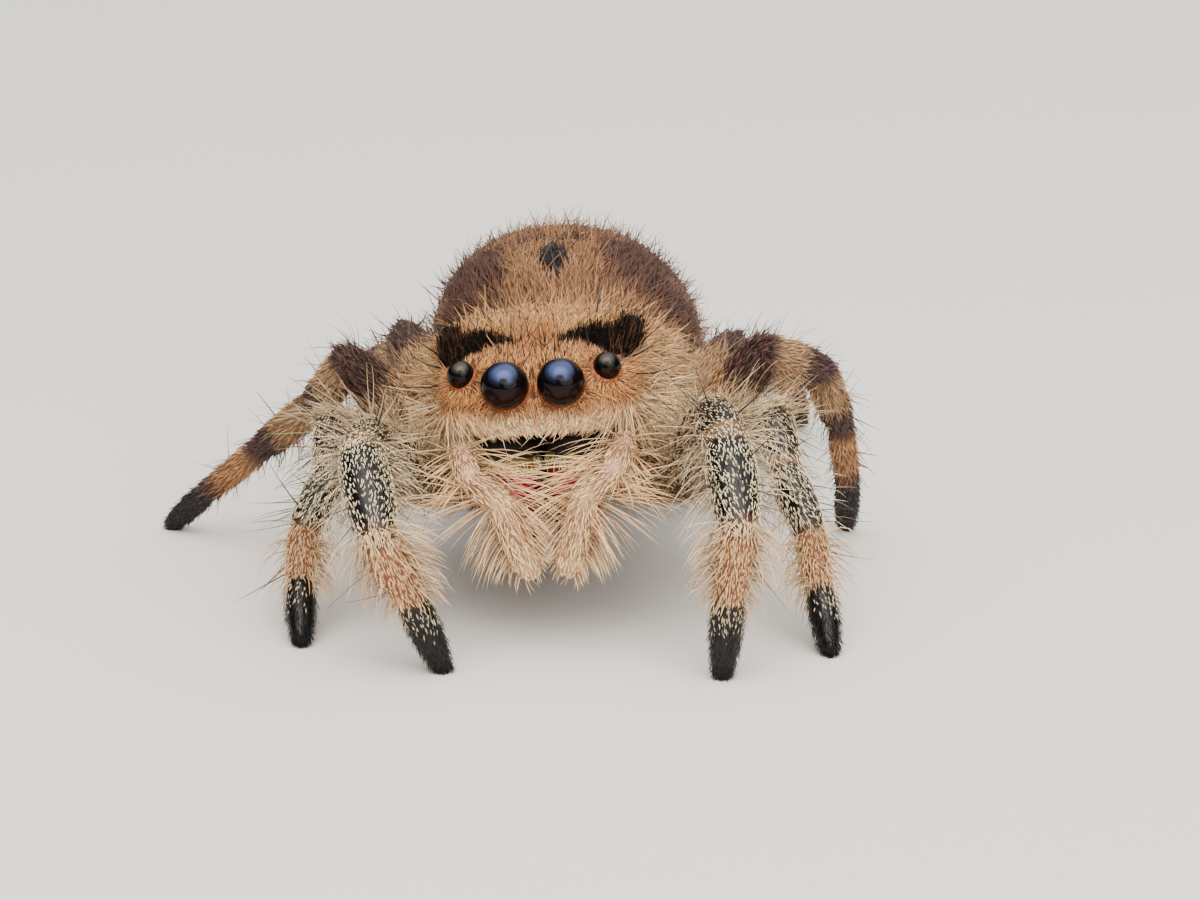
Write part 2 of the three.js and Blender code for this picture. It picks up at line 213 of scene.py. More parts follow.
def make_piece(name: str, points: Array, triangles: Array, colours: Array, gloss: Array,
               material: bpy.types.Material, slot: str, nodes: Sequence[str] = (),
               places: Array | None = None) -> None:
    """Stores a smooth mesh, marks and dresses it, ties it to the frame and reports it.

    Args:
        name: Name of the piece.
        points: Its points in millimetres, in the animal's coordinates.
        triangles: Three point numbers for each face.
        colours: Linear colours for the point attribute "marking".
        gloss: The attribute's fourth value, 0 for dull and 1 for glossy.
        material: Its only material.
        slot: The record's slot; not used.
        nodes: Nodes of the frame that it stands for.
        places: Places of the points in the map OFBake, if it has one.
    """
    mesh = bpy.data.meshes.new(name)
    mesh.vertices.add(len(points))
    mesh.vertices.foreach_set("co", ((points - ORIGIN) * MM).astype(np.float32).ravel())
    mesh.loops.add(len(triangles) * 3)
    mesh.loops.foreach_set("vertex_index", triangles.astype(np.int32).ravel())
    mesh.polygons.add(len(triangles))
    mesh.polygons.foreach_set("loop_start", np.arange(0, len(triangles) * 3, 3, dtype=np.int32))
    mesh.update(calc_edges=True)
    mesh.polygons.foreach_set("use_smooth", np.ones(len(triangles), bool))
    mesh.update()
    piece = new_object(name, mesh)
    marking = np.concatenate([colours, gloss[:, None]], axis=1).astype(np.float32)
    mesh.color_attributes.new("marking", "FLOAT_COLOR", "POINT").data.foreach_set("color", marking.ravel())
    if places is not None:
        layer = mesh.uv_layers.new(name="OFBake")
        layer.data.foreach_set("uv", places[triangles.ravel()].astype(np.float32).ravel())
    mesh.materials.append(material)
    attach(piece, "root")
    if nodes:
        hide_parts(*nodes)
    LOG.info("%s: %d triangles", name, len(triangles))


def ring_places(rows: int) -> Array:
    """Shares of the way from pole to pole for rings, crowded towards both by a cosine."""
    return (1.0 - np.cos(math.pi * np.arange(1, rows + 1) / (rows + 1))) / 2.0


def side_faces(rows: int, columns: int) -> Array:
    """Triangles between rings of points, ring after ring, each closed upon itself."""
    step = np.arange(columns)
    ring = columns * np.arange(rows - 1)[:, None]
    here, beside = ring + step, ring + (step + 1) % columns
    return stacked(here, beside, beside + columns, here, beside + columns, here + columns).reshape(-1, 3)


def tube_faces(rows: int, columns: int) -> Array:
    """Triangles of a tube: point 0 closes its start, and the point after the rings its end."""
    step = np.arange(columns)
    following = (step + 1) % columns
    last = 1 + rows * columns
    start = stacked(0, 1 + following, 1 + step)
    end = stacked(last, last - columns + step, last - columns + following)
    return np.concatenate([start, 1 + side_faces(rows, columns), end])


def outward_faces(points: Array, triangles: Array) -> Array:
    """The triangles of a closed mesh, turned over if the volume they enclose is negative."""
    corners = points[triangles]
    volume = np.sum(corners[:, 0] * np.cross(corners[:, 1], corners[:, 2]))
    return triangles if volume > 0 else triangles[:, ::-1]


# ---- forms


@dataclass(frozen=True)
class Tile:
    """A rectangle of the coat's map that holds the unwrap of one form."""

    left: float
    low: float
    width: float
    height: float

    def place(self, s: Array, turn: Array) -> Array:
        """Map places: s runs along the tile's width and the turn about the axis up its height."""
        return stacked(self.left + self.width * np.clip(s, 0.0, 1.0),
                       self.low + self.height * (turn % FULL_TURN) / FULL_TURN)


class Form(ABC):
    """A closed surface of two parameters: s from 0 to 1 along its axis, and the turn about it."""

    tile: Tile
    depth: float
    fineness: tuple[int, int] = (44, 40)

    @abstractmethod
    def surface(self, s: Array, turn: Array, grow: float = 0.0) -> Array:
        """Points of the surface.

        Args:
            s: Place along the axis, 0 at the first end and 1 at the last.
            turn: Angle about the axis, 90 degrees on the back.
            grow: How far the surface is pushed out.

        Returns:
            Points in the animal's frame.
        """

    @abstractmethod
    def level(self, points: Array) -> Array:
        """How deep points lie in the skin's form: under 1 inside it, over 1 outside."""

    def skin(self, s: Array, turn: Array) -> Array:
        """Points of the skin, which lies inside the solid by the coat's depth."""
        return self.surface(s, turn, -self.depth)

    def closed_mesh(self) -> Mesh:
        """The skin's form as points and outward triangles of a closed mesh."""
        rows, columns = self.fineness
        turn = FULL_TURN * np.arange(columns) / columns
        rings = self.skin(np.repeat(ring_places(rows), columns), np.tile(turn, rows))
        poles = [self.skin(np.full(columns, s), turn).mean(axis=0)[None] for s in (1e-6, 1.0 - 1e-6)]
        points = np.concatenate([poles[0], rings, poles[1]])
        return points, outward_faces(points, tube_faces(rows, columns))

    def tangents(self, s: Array, turn: Array) -> tuple[Array, Array, Array]:
        """Skin points, their outward normals and the directions in which s grows.

        Args:
            s: Places along the axis.
            turn: Places about the axis.

        Returns:
            Points, normals and directions, from central differences.
        """
        small = 1e-3
        points = self.skin(s, turn)
        along = self.skin(np.clip(s + small, 0, 1), turn) - self.skin(np.clip(s - small, 0, 1), turn)
        around = self.skin(s, turn + small) - self.skin(s, turn - small)
        normals = unit(np.cross(around, along))
        outward = points - self.skin(s, turn + math.pi)
        return points, normals * np.where(dot(normals, outward) < 0.0, -1.0, 1.0), unit(along)


@dataclass
class Roots:
    """Places on a form where hairs grow."""

    form: Form
    s: Array
    turn: Array
    points: Array
    normals: Array
    along: Array

    def kept(self, mask: Array) -> "Roots":
        """The roots for which mask is true."""
        every = (self.s, self.turn, self.points, self.normals, self.along)
        return Roots(self.form, *(values[mask] for values in every))

    @property
    def local(self) -> Array:
        """The roots' points in the head's own frame."""
        return unrolled(self.points)

    @classmethod
    def on(cls, form: Form, s: Array, turn: Array) -> "Roots":
        """Roots at given places of a form."""
        return cls(form, s, turn, *form.tangents(s, turn))


Density = Callable[[Roots], Array]


def scatter(form: Form, per_area: float, rng: np.random.Generator, density: Density | None,
            cells: tuple[int, int]) -> Roots:
    """Spreads roots evenly over a form.

    The skin is cut into a grid of cells, crowded towards both poles by u^3 / (u^3 + (1-u)^3).
    Each cell's share is its area times the density there, and picks at equal steps through
    the running sum of the shares choose the cells, with a random place inside each.

    Args:
        form: The form that carries the hairs.
        per_area: Hairs on each square millimetre where the density is 1.
        rng: Source of the random places.
        density: Share of per_area, 0 to 1, at given roots; None means 1.
        cells: Cells along and about the axis.

    Returns:
        The roots.
    """
    rows, columns = cells
    share = np.linspace(0.0, 1.0, rows + 1)
    edges = share**3 / (share**3 + (1.0 - share) ** 3), np.linspace(0.0, FULL_TURN, columns + 1)
    s_grid, turn_grid = np.meshgrid(*edges, indexing="ij")
    corners = form.skin(s_grid.ravel(), turn_grid.ravel()).reshape(rows + 1, columns + 1, 3)
    diagonals = corners[1:, 1:] - corners[:-1, :-1], corners[1:, :-1] - corners[:-1, 1:]
    share = np.linalg.norm(np.cross(*diagonals), axis=-1).ravel() / 2.0
    if density is not None:
        middles = np.meshgrid(*((edge[1:] + edge[:-1]) / 2 for edge in edges), indexing="ij")
        share = share * np.clip(density(Roots.on(form, *(middle.ravel() for middle in middles))), 0.0, 1.0)
    running = np.cumsum(share)
    count = int(running[-1] * per_area)
    if count == 0:
        return Roots.on(form, np.zeros(0), np.zeros(0))
    picks = (np.arange(count) + rng.random(count)) * running[-1] / count
    cell = np.minimum(np.searchsorted(running, picks), rows * columns - 1)
    places = [mix(edge[part], edge[part + 1], rng.random(count))
              for edge, part in zip(edges, (cell // columns, cell % columns))]
    return Roots.on(form, *places)


@dataclass(frozen=True)
class Eye:
    """One eye: a ball set in the head, in the head's own frame."""

    word: str
    at: Triple
    radius: float
    rim: float
    rim_width: float

    def centre(self, side: Side) -> Array:
        """The eye's centre in the head's frame."""
        return side.mirror * self.at


EYES = (
    Eye("anterior_median", (0.5, 0.12, 4.6), 0.43, -0.05, 0.14),
    Eye("anterior_lateral", (1.3, 0.5, 4.74), 0.25, -0.02, 0.1),
    Eye("posterior_median", (1.56, 1.3, 4.83), 0.1, 0.02, 0.06),
    Eye("posterior_lateral", (1.63, 2.15, 4.98), 0.21, 0.04, 0.08),
)
FRONT_EYES = EYES[:2]


def eye_gap(points: Array, eyes: Sequence[Eye] = EYES) -> Array:
    """Distance from points of the head's frame to the nearest eye's surface, negative inside."""
    gaps = [np.linalg.norm(points - eye.centre(side), axis=-1) - eye.radius
            for eye in eyes for side in Side]
    return np.min(gaps, axis=0)


@dataclass(frozen=True)
class RingedBody(Form):
    """Rings along Y, each a superellipse whose half width, top and bottom vary with s."""

    front: float
    rear: float
    depth: float
    tile: Tile
    rolls: bool = True

    @abstractmethod
    def profile(self, t: Array) -> Profile:
        """At t: half width, top, bottom, X of the middle, and the power, of which 2 is an ellipse."""

    def relief(self, points: Array, outward: Array) -> Array:
        """Folds and rims on top of the plain form."""
        return points

    def surface(self, s: Array, turn: Array, grow: float = 0.0) -> Array:
        """Signed powers 2/p of the turn's cosine and sine, scaled by half width and height."""
        half, top, bottom, middle, power = self.profile(s)
        waves = np.cos(turn), np.sin(turn)
        spread, rise = (np.sign(wave) * np.abs(wave) ** (2.0 / power) for wave in waves)
        level = mix(bottom, top, GIRDLE)
        reach = np.where(rise > 0.0, top - level, level - bottom)
        closing = np.clip(half / 0.2, 0.0, 1.0)
        centre = (self.front + self.rear) / 2.0
        stretch = 1.0 + 2.0 * grow / (self.rear - self.front)
        y = centre + (mix(self.front, self.rear, s) - centre) * stretch
        x = middle + spread * np.maximum(half + grow * closing, 0.0)
        z = level + rise * np.maximum(reach + grow * closing, 0.0) * closing
        points = self.relief(stacked(x, y, z), unit(stacked(spread, (s - 0.5) * 0.6, rise)))
        return rolled(points) if self.rolls else points

    def level(self, points: Array) -> Array:
        """The superellipse's own radius at each point, over 1 beyond either end."""
        x, y, z = (unrolled(points) if self.rolls else points).T
        t = (y - self.front - self.depth) / (self.rear - self.front - 2.0 * self.depth)
        half, top, bottom, centre, power = self.profile(np.clip(t, 0.001, 0.999))
        middle = mix(bottom, top, GIRDLE)
        reach = np.where(z > middle, top - middle, middle - bottom) - self.depth
        across = (np.abs(x - centre) / np.maximum(half - self.depth, 0.02)) ** power
        upward = (np.abs(z - middle) / np.maximum(reach, 0.02)) ** power
        value = (across + upward) ** (1.0 / power)
        return np.where((t < 0.0) | (t > 1.0), np.maximum(value, 1.5), value)


@dataclass(frozen=True)
class Carapace(RingedBody):
    """The head shield: a blunt face, a flat crown and a slope behind."""

    front: float = -0.06
    rear: float = 6.05
    depth: float = 0.1
    tile: Tile = Tile(0.01, 0.01, 0.48, 0.36)
    fineness: tuple[int, int] = (150, 132)
    face_half_width: float = 1.72
    full_half_width: float = 2.42
    face_roof: float = 4.98
    roof: float = 5.33
    rear_drop: float = 1.9
    face_hem: float = 3.55
    hem: float = 2.72
    nose: float = 0.14
    nose_blunt: float = 3.0
    nose_full: float = 0.45
    tail: float = 0.4
    tail_blunt: float = 2.6
    tail_full: float = 0.5
    brow: float = 0.1
    brow_drop: float = 0.55
    face_squareness: float = 3.0
    squareness: float = 2.2

    def profile(self, t: Array) -> Profile:
        """Widens behind the face and rounds off at both ends, with a crown and a sloping back."""
        width = mix(self.face_half_width, self.full_half_width, ease(0.0, 0.55, t))
        ahead = np.maximum(0.0, (self.nose - t) / self.nose)
        behind = np.maximum(0.0, (t - 1.0 + self.tail) / self.tail)
        nose = np.maximum(0.0, 1.0 - ahead**self.nose_blunt) ** self.nose_full
        half = width * nose * np.maximum(0.0, 1.0 - behind**self.tail_blunt) ** self.tail_full
        roof = mix(self.face_roof, self.roof, ease(0.0, 0.35, t))
        brow = self.brow_drop * np.maximum(0.0, (self.brow - t) / self.brow) ** 3
        top = roof - brow - self.rear_drop * ease(0.42, 1.05, t)
        hem = mix(self.face_hem, self.hem, ease(0.0, 0.4, t))
        return half, top, hem, 0.0, mix(self.face_squareness, self.squareness, ease(0.2, 0.8, t))

    def relief(self, points: Array, outward: Array) -> Array:
        """A rim or hollow round each eye: a bell curve of the distance from the eye's surface."""
        for eye in EYES:
            for side in Side:
                away = points - eye.centre(side)
                gap = np.linalg.norm(away, axis=-1, keepdims=True) - eye.radius
                rim = eye.rim * bell((gap - 0.02) / eye.rim_width)
                points = points + rim * unit(outward + 0.5 * unit(away))
        return points


@dataclass(frozen=True)
class Sternum(RingedBody):
    """The breast plate between the leg roots."""

    front: float = 1.25
    rear: float = 5.35
    depth: float = 0.06
    tile: Tile = Tile(0.01, 0.375, 0.2, 0.04)
    widest: float = 0.92
    upper: float = 2.62
    lower: float = 1.7
    squareness: float = 2.5

    def profile(self, t: Array) -> Profile:
        """A blunt oval, level above and below."""
        half = self.widest * np.sqrt(np.maximum(0.0, 1.0 - np.abs(2.0 * t - 1.0) ** 3))
        return half, self.upper, self.lower, 0.0, self.squareness


@dataclass(frozen=True)
class Abdomen(RingedBody):
    """The egg of the abdomen, carried a little to the right, with its pattern rolled that way too."""

    front: float = 6.15
    rear: float = 13.25
    depth: float = 0.14
    tile: Tile = Tile(0.51, 0.01, 0.48, 0.36)
    rolls: bool = False
    widest: float = 2.66
    upper: float = 5.0
    lower: float = 0.62
    rear_x: float = -0.75
    tail_drop: float = 0.35
    fullness: float = 2.3
    skew: float = 0.86
    squareness: float = 2.1
    pattern_roll: float = 8.5

    def profile(self, t: Array) -> Profile:
        """An egg, fullest a little ahead of the middle, that droops to the rear and to the right."""
        egg = np.sqrt(np.maximum(0.0, 1.0 - np.abs(2.0 * t**self.skew - 1.0) ** self.fullness))
        centre = (self.upper + self.lower) / 2.0
        top = mix(centre, self.upper, egg) - self.tail_drop * t * t
        bottom = mix(centre, self.lower, egg) - self.tail_drop * t * t * (1.0 - egg)
        return self.widest * egg, top, bottom, self.rear_x * t, self.squareness

    def pattern_place(self, points: Array) -> tuple[Array, Array]:
        """Where points lie in the pattern.

        Args:
            points: Points in the animal's frame.

        Returns:
            Share of the length from the front, and the angle from the ridge of the back as a
            share of a right angle, positive on the left.
        """
        x, y, z = points.T
        t = np.clip((y - self.front) / (self.rear - self.front), 0.0, 1.0)
        _, top, bottom, middle, _ = self.profile(t)
        angle = np.degrees(np.arctan2(x - middle, z - mix(bottom, top, GIRDLE))) + self.pattern_roll
        return t, (angle + 180.0) % 360.0 / 90.0 - 2.0


@dataclass(frozen=True)
class Limb(Form):
    """A round limb between two points, with round ends, a swell between them and drawn-in joints."""

    start: Array
    end: Array
    radii: Pair
    swell: float
    dorsal: Array
    depth: float
    tile: Tile
    order: int = 0
    waist: float = 0.1

    @property
    def axis(self) -> Array:
        """Direction from the start to the end."""
        return unit(self.end - self.start)

    @property
    def length(self) -> float:
        """Distance between the ends."""
        return float(np.linalg.norm(self.end - self.start))

    @property
    def back(self) -> Array:
        """The side that faces away from the bend of the leg, square to the axis."""
        return unit(self.dorsal - np.dot(self.dorsal, self.axis) * self.axis)

    @property
    def beside(self) -> Array:
        """The direction square to both the axis and the back."""
        return np.cross(self.back, self.axis)

    def radius(self, t: Array) -> Array:
        """A straight taper plus a sine swell, drawn in near both ends by a high power."""
        plain = mix(self.radii[0], self.radii[1], t) + self.swell * np.sin(math.pi * t)
        return plain * (1.0 - self.waist * np.abs(2.0 * t - 1.0) ** 8)

    def surface(self, s: Array, turn: Array, grow: float = 0.0) -> Array:
        """A lathe about the axis whose ends are half ellipses."""
        first, last = (radius * (1.0 - self.waist) + grow for radius in self.radii)
        along = mix(-first, self.length + last, s)
        t = np.clip(along / self.length, 0.0, 1.0)
        over = np.where(along < 0.0, along / first, np.maximum(along - self.length, 0.0) / last)
        radius = (self.radius(t) + grow) * np.sqrt(np.maximum(0.0, 1.0 - over**2))
        ring = np.cos(turn)[..., None] * self.beside + np.sin(turn)[..., None] * self.back
        return self.start + along[..., None] * self.axis + radius[..., None] * ring

    def level(self, points: Array) -> Array:
        """Distance from the axis as a share of the radius, joined with the way past an end."""
        away = points - self.start
        along = away @ self.axis
        t = np.clip(along / self.length, 0.0, 1.0)
        across = np.linalg.norm(away - along[:, None] * self.axis, axis=-1)
        radius = self.radius(t) - self.depth
        return np.sqrt((across / radius) ** 2 + ((along - t * self.length) / radius) ** 2)

    def place(self, points: Array) -> Array:
        """Segments from the hip to points near the limb: its order plus the share of its length."""
        return self.order + np.clip((points - self.start) @ self.axis / self.length, 0.0, 1.0)


def chain(joints: Sequence[Array], radii: Sequence[float], swells: Sequence[float], dorsal: Array,
          depth: float, tile: Tile) -> list[Limb]:
    """Limbs from joint to joint.

    Args:
        joints: The joints' points, one more than the limbs.
        radii: Radius at each joint.
        swells: Swell of each limb.
        dorsal: Where all their backs face.
        depth: The coat's depth.
        tile: The first limb's tile; the others follow beside it, at gaps as wide as its margin.

    Returns:
        The limbs, numbered in order.
    """
    step = tile.width + tile.left
    return [
        Limb(joints[i], joints[i + 1], radii[i:i + 2], swells[i], dorsal, depth,
             Tile(tile.left + i * step, tile.low, tile.width, tile.height), i)
        for i in range(len(swells))
    ]


# ---- the skeleton


@dataclass(frozen=True)
class LegBuild:
    """Sizes of one pair of legs, from the hip outwards."""

    lengths: tuple[float, ...]
    radii: tuple[float, ...]
    swells: tuple[float, ...]
    hip: Triple
    towards: Triple


@dataclass(frozen=True)
class Stance:
    """Where one foot stands, how steeply its outer segments rise and how its plane leans."""

    foot: Pair
    rise: Triple
    lean: Pair


COXA_LENGTH = 1.4
FOOT_AXIS_HEIGHT = 0.12

LEG_BUILD = {
    1: LegBuild((2.35, 1.15, 1.7, 1.45, 1.28), (0.43, 0.43, 0.43, 0.46, 0.42, 0.35, 0.24),
                (0.03, 0.12, 0.04, 0.07, 0.02, 0.04), (1.0, 1.95, 2.35), (1, -0.25, 0)),
    2: LegBuild((1.8, 1.1, 1.4, 1.15, 1.12), (0.4, 0.4, 0.38, 0.38, 0.34, 0.31, 0.23),
                (0.02, 0.08, 0.03, 0.05, 0.01, 0.04), (1.05, 2.87, 2.3), (1, -0.1, 0)),
    3: LegBuild((2.25, 1.3, 1.7, 1.65, 1.1), (0.4, 0.4, 0.36, 0.33, 0.28, 0.26, 0.21),
                (0.02, 0.1, 0.04, 0.04, 0.01, 0.03), (1.05, 3.79, 2.3), (1, 0.15, 0.1)),
    4: LegBuild((2.5, 1.3, 2.1, 1.95, 1.15), (0.42, 0.42, 0.37, 0.34, 0.29, 0.26, 0.21),
                (0.02, 0.12, 0.04, 0.05, 0.01, 0.03), (1.0, 4.7, 2.3), (0.9, 0.6, 0.2)),
}
STANCE = {
    (Side.LEFT, 1): Stance((3.32, -2.15), (66, 80, 19), (0.2, -0.34)),
    (Side.LEFT, 2): Stance((5.13, -0.75), (49, 50, 37), (0.5, 0.43)),
    (Side.LEFT, 3): Stance((5.1, 6.5), (66, 60, 50), (0.5, -0.4)),
    (Side.LEFT, 4): Stance((3.9, 13.2), (44, 26, 6), (0.15, 0)),
    (Side.RIGHT, 1): Stance((-1.58, -2.2), (69, 78, 19), (-0.45, -0.49)),
    (Side.RIGHT, 2): Stance((-4.2, -0.95), (59, 55, 36), (-0.9, 0.8)),
    (Side.RIGHT, 3): Stance((-7.4, 5.6), (30, 27, 27), (-0.42, -0.45)),
    (Side.RIGHT, 4): Stance((-4.5, 12.9), (44, 26, 6), (-0.3, 0)),
}


@dataclass(frozen=True)
class Leg:
    """One leg: its six limbs, hip first, and what it needs to be marked and clothed."""

    side: Side
    pair: int
    depth: float = 0.05

    @property
    def name(self) -> str:
        """The leg's name, as nodes have it."""
        return f"leg_{self.side.word}_{self.pair}"

    @property
    def front(self) -> bool:
        """Whether it is one of the two dark, fringed front pairs."""
        return self.pair < 3

    @property
    def up(self) -> Array:
        """The direction that the leg's plane holds upwards."""
        return unit(vec(*STANCE[self.side, self.pair].lean, 1.0))

    def joints(self) -> list[Array]:
        """Joint points, hip first.

        The three outer segments rise from the foot at their own angles in the leg's plane.
        Femur and patella are the two sides of a triangle over what is left, knee upwards.
        """
        build, stance = LEG_BUILD[self.pair], STANCE[self.side, self.pair]
        hip = rolled(self.side.mirror * build.hip)
        trochanter = hip + COXA_LENGTH * unit(self.side.mirror * build.towards)
        tip = vec(*stance.foot, FOOT_AXIS_HEIGHT)
        out = tip - trochanter
        out = unit(out - np.dot(out, self.up) * self.up)
        outer = [tip]
        for length, rise in zip(build.lengths[:1:-1], stance.rise):
            angle = math.radians(rise)
            outer.insert(0, outer[0] - length * math.cos(angle) * out + length * math.sin(angle) * self.up)
        span = outer[0] - trochanter
        reach = float(np.linalg.norm(span))
        femur, patella = build.lengths[:2]
        inner = (femur**2 + reach**2 - patella**2) / (2.0 * femur * reach)
        angle = math.acos(min(1.0, max(-1.0, inner)))
        span = span / reach
        across = unit(self.up - np.dot(self.up, span) * span)
        knee = trochanter + femur * (math.cos(angle) * span + math.sin(angle) * across)
        return [hip, trochanter, knee, *outer]

    def limbs(self) -> list[Limb]:
        """The six limbs, in the leg's strip of the coat's map."""
        build = LEG_BUILD[self.pair]
        strip = 2 * self.pair - 2 + (self.side is Side.RIGHT)
        tile = Tile(0.005, 0.42 + 0.058 * strip, 0.16, 0.054)
        return chain(self.joints(), build.radii, build.swells, self.up, self.depth, tile)


PALP_JOINTS = ((1.3, 1.12, 2.15), (1.46, -0.2, 3.5), (1.26, -0.66, 3.16), (0.76, -0.96, 2.82),
               (0.36, -0.92, 1.56))
PALP_RADII = (0.28, 0.32, 0.33, 0.36, 0.36)
PALP_SWELLS = (0.02,) * 4
PALP_SWAY = 0.1
PALP_DEPTH = 0.12


def palp_limbs(side: Side) -> list[Limb]:
    """The four limbs of one palp, root first, whose backs face away from the jaws."""
    joints = [rolled(side.mirror * joint + vec(PALP_SWAY, 0, 0)) for joint in PALP_JOINTS]
    tile = Tile(0.01, 0.892 + 0.05 * (side is Side.RIGHT), 0.23, 0.045)
    return chain(joints, PALP_RADII, PALP_SWELLS, vec(0, -1, 0.35), PALP_DEPTH, tile)


@dataclass(frozen=True)
class Jaw:
    """One of the two jaws: a swollen base and a folded fang."""

    side: Side
    root: Triple = (0.6, 0.72, 3.35)
    tip: Triple = (0.55, 0.4, 1.62)
    radii: Pair = (0.56, 0.4)
    swell: float = 0.05
    fang_tip: Triple = (0.2, 0.62, 1.3)
    fang_bow: Triple = (0.6, 0.3, 1.2)
    fang_radius: float = 0.26

    def point(self, place: Triple) -> Array:
        """A point of the left jaw, moved to this jaw."""
        return rolled(self.side.mirror * place)

    def base(self) -> Limb:
        """The jaw's swollen base."""
        return Limb(self.point(self.root), self.point(self.tip), self.radii, self.swell, vec(0, -1, 0),
                    0.02, Tile(0.3, 0.375, 0.1, 0.04), waist=0.04)


class Skeleton:
    """Every form of the animal, made once and shared by skin and coat."""

    def __init__(self) -> None:
        """Makes the forms."""
        self.carapace = Carapace()
        self.sternum = Sternum()
        self.abdomen = Abdomen()
        self.legs = [Leg(side, pair) for side in Side for pair in LEG_BUILD]
        self.limbs = {leg: leg.limbs() for leg in self.legs}
        self.palps = {side: palp_limbs(side) for side in Side}
        self.jaws = {side: Jaw(side) for side in Side}
        self.pedicel = Limb(vec(0, 5.6, 2.75), vec(-0.1, 6.9, 2.85), (0.42, 0.42), 0.0, vec(0, 0, 1), 0.08,
                            Tile(0.22, 0.375, 0.07, 0.04))
        self.spinnerets = [self.spinneret(side) for side in Side]
        self.endites = [self.endite(side) for side in Side]

    def spinneret(self, side: Side) -> Limb:
        """One of the two spinning tubes under the tail."""
        body = self.abdomen
        height = mix(body.lower, body.upper, 0.42)
        root = vec(body.rear_x + side.value * 0.28, body.rear - 0.55, height)
        end = vec(body.rear_x + side.value * 0.14, body.rear + 0.2, height - 0.2)
        return Limb(root, end, (0.26, 0.25), 0.0, vec(0, 0, 1), 0.09, Tile(0.42, 0.375, 0.06, 0.04))

    def endite(self, side: Side) -> Limb:
        """One of the two mouth plates between the jaws and the breast."""
        start, end = (rolled(side.mirror * place) for place in ((0.5, 1.75, 2.25), (0.3, 1.3, 1.95)))
        return Limb(start, end, (0.3, 0.26), 0.02, vec(0, -1, 0), 0.04, Tile(0.5, 0.375, 0.06, 0.04))

    def plain_forms(self) -> list[Form]:
        """The forms with bare brown cuticle under thin hair."""
        return [self.sternum, self.pedicel, *self.endites, *self.spinnerets]

    def forms(self) -> list[Form]:
        """All the forms that the skin fuses."""
        limbs = [limb for group in (*self.limbs.values(), *self.palps.values()) for limb in group]
        bodies = [self.carapace, self.sternum, self.abdomen, self.pedicel]
        return [*bodies, *self.spinnerets, *self.endites, *limbs]

    def inner_limbs(self, count: int, counts: Callable[[Leg], bool] = lambda leg: True) -> list[Form]:
        """The first few limbs, from the hip, of the legs that count."""
        return [limb for leg, limbs in self.limbs.items() if counts(leg) for limb in limbs[:count]]


# ---- markings


class Palette:
    """Colours of the coat and the cuticle."""

    crown = tone(204, 152, 94)
    cheek = tone(214, 174, 126)
    thorax = tone(148, 106, 66)
    face = tone(230, 160, 96)
    patch = tone(206, 120, 58)
    ember = tone(64, 33, 18)
    socket = tone(142, 74, 34)
    clypeus = tone(255, 204, 152)
    brow = tone(15, 11, 9)
    umber = tone(82, 54, 36)
    belly = tone(112, 82, 58)
    cuticle = tone(66, 38, 24)
    abdomen = tone(140, 92, 56)
    halo = tone(178, 130, 86)
    band = tone(76, 42, 34)
    spot = tone(14, 17, 26)
    cream = tone(255, 216, 168)
    palp = tone(255, 208, 154)
    black = tone(9, 9, 10)
    bristle = tone(22, 14, 10)


@dataclass(frozen=True)
class Band:
    """A soft band along a bent line in a plane, with its own half width at each corner."""

    corners: tuple[Pair, ...]
    half_widths: tuple[float, ...]

    def mask(self, across: Array, along: Array, soft: float = 0.25) -> Array:
        """1 on the band and 0 off it: distance to each stretch over its half width there.

        Args:
            across: First coordinate of the points.
            along: Second coordinate of the points.
            soft: Share of the half width over which the edge fades.

        Returns:
            One value for each point.
        """
        nearest = np.full(across.shape, 9.0)
        for i in range(len(self.corners) - 1):
            start, end = vec(*self.corners[i]), vec(*self.corners[i + 1])
            step = end - start
            t = ((across - start[0]) * step[0] + (along - start[1]) * step[1]) / float(step @ step)
            t = np.clip(t, 0.0, 1.0)
            gap = np.hypot(across - start[0] - t * step[0], along - start[1] - t * step[1])
            nearest = np.minimum(nearest, gap / mix(self.half_widths[i], self.half_widths[i + 1], t))
        return 1.0 - ease(1.0 - soft, 1.0 + soft, nearest)


BROW = Band(((0.34, 1.17), (0.72, 1.28), (1.1, 1.32), (1.4, 1.22), (1.56, 1.55), (1.62, 1.9), (1.66, 2.3)),
            (0.03, 0.14, 0.3, 0.32, 0.22, 0.18, 0.16))


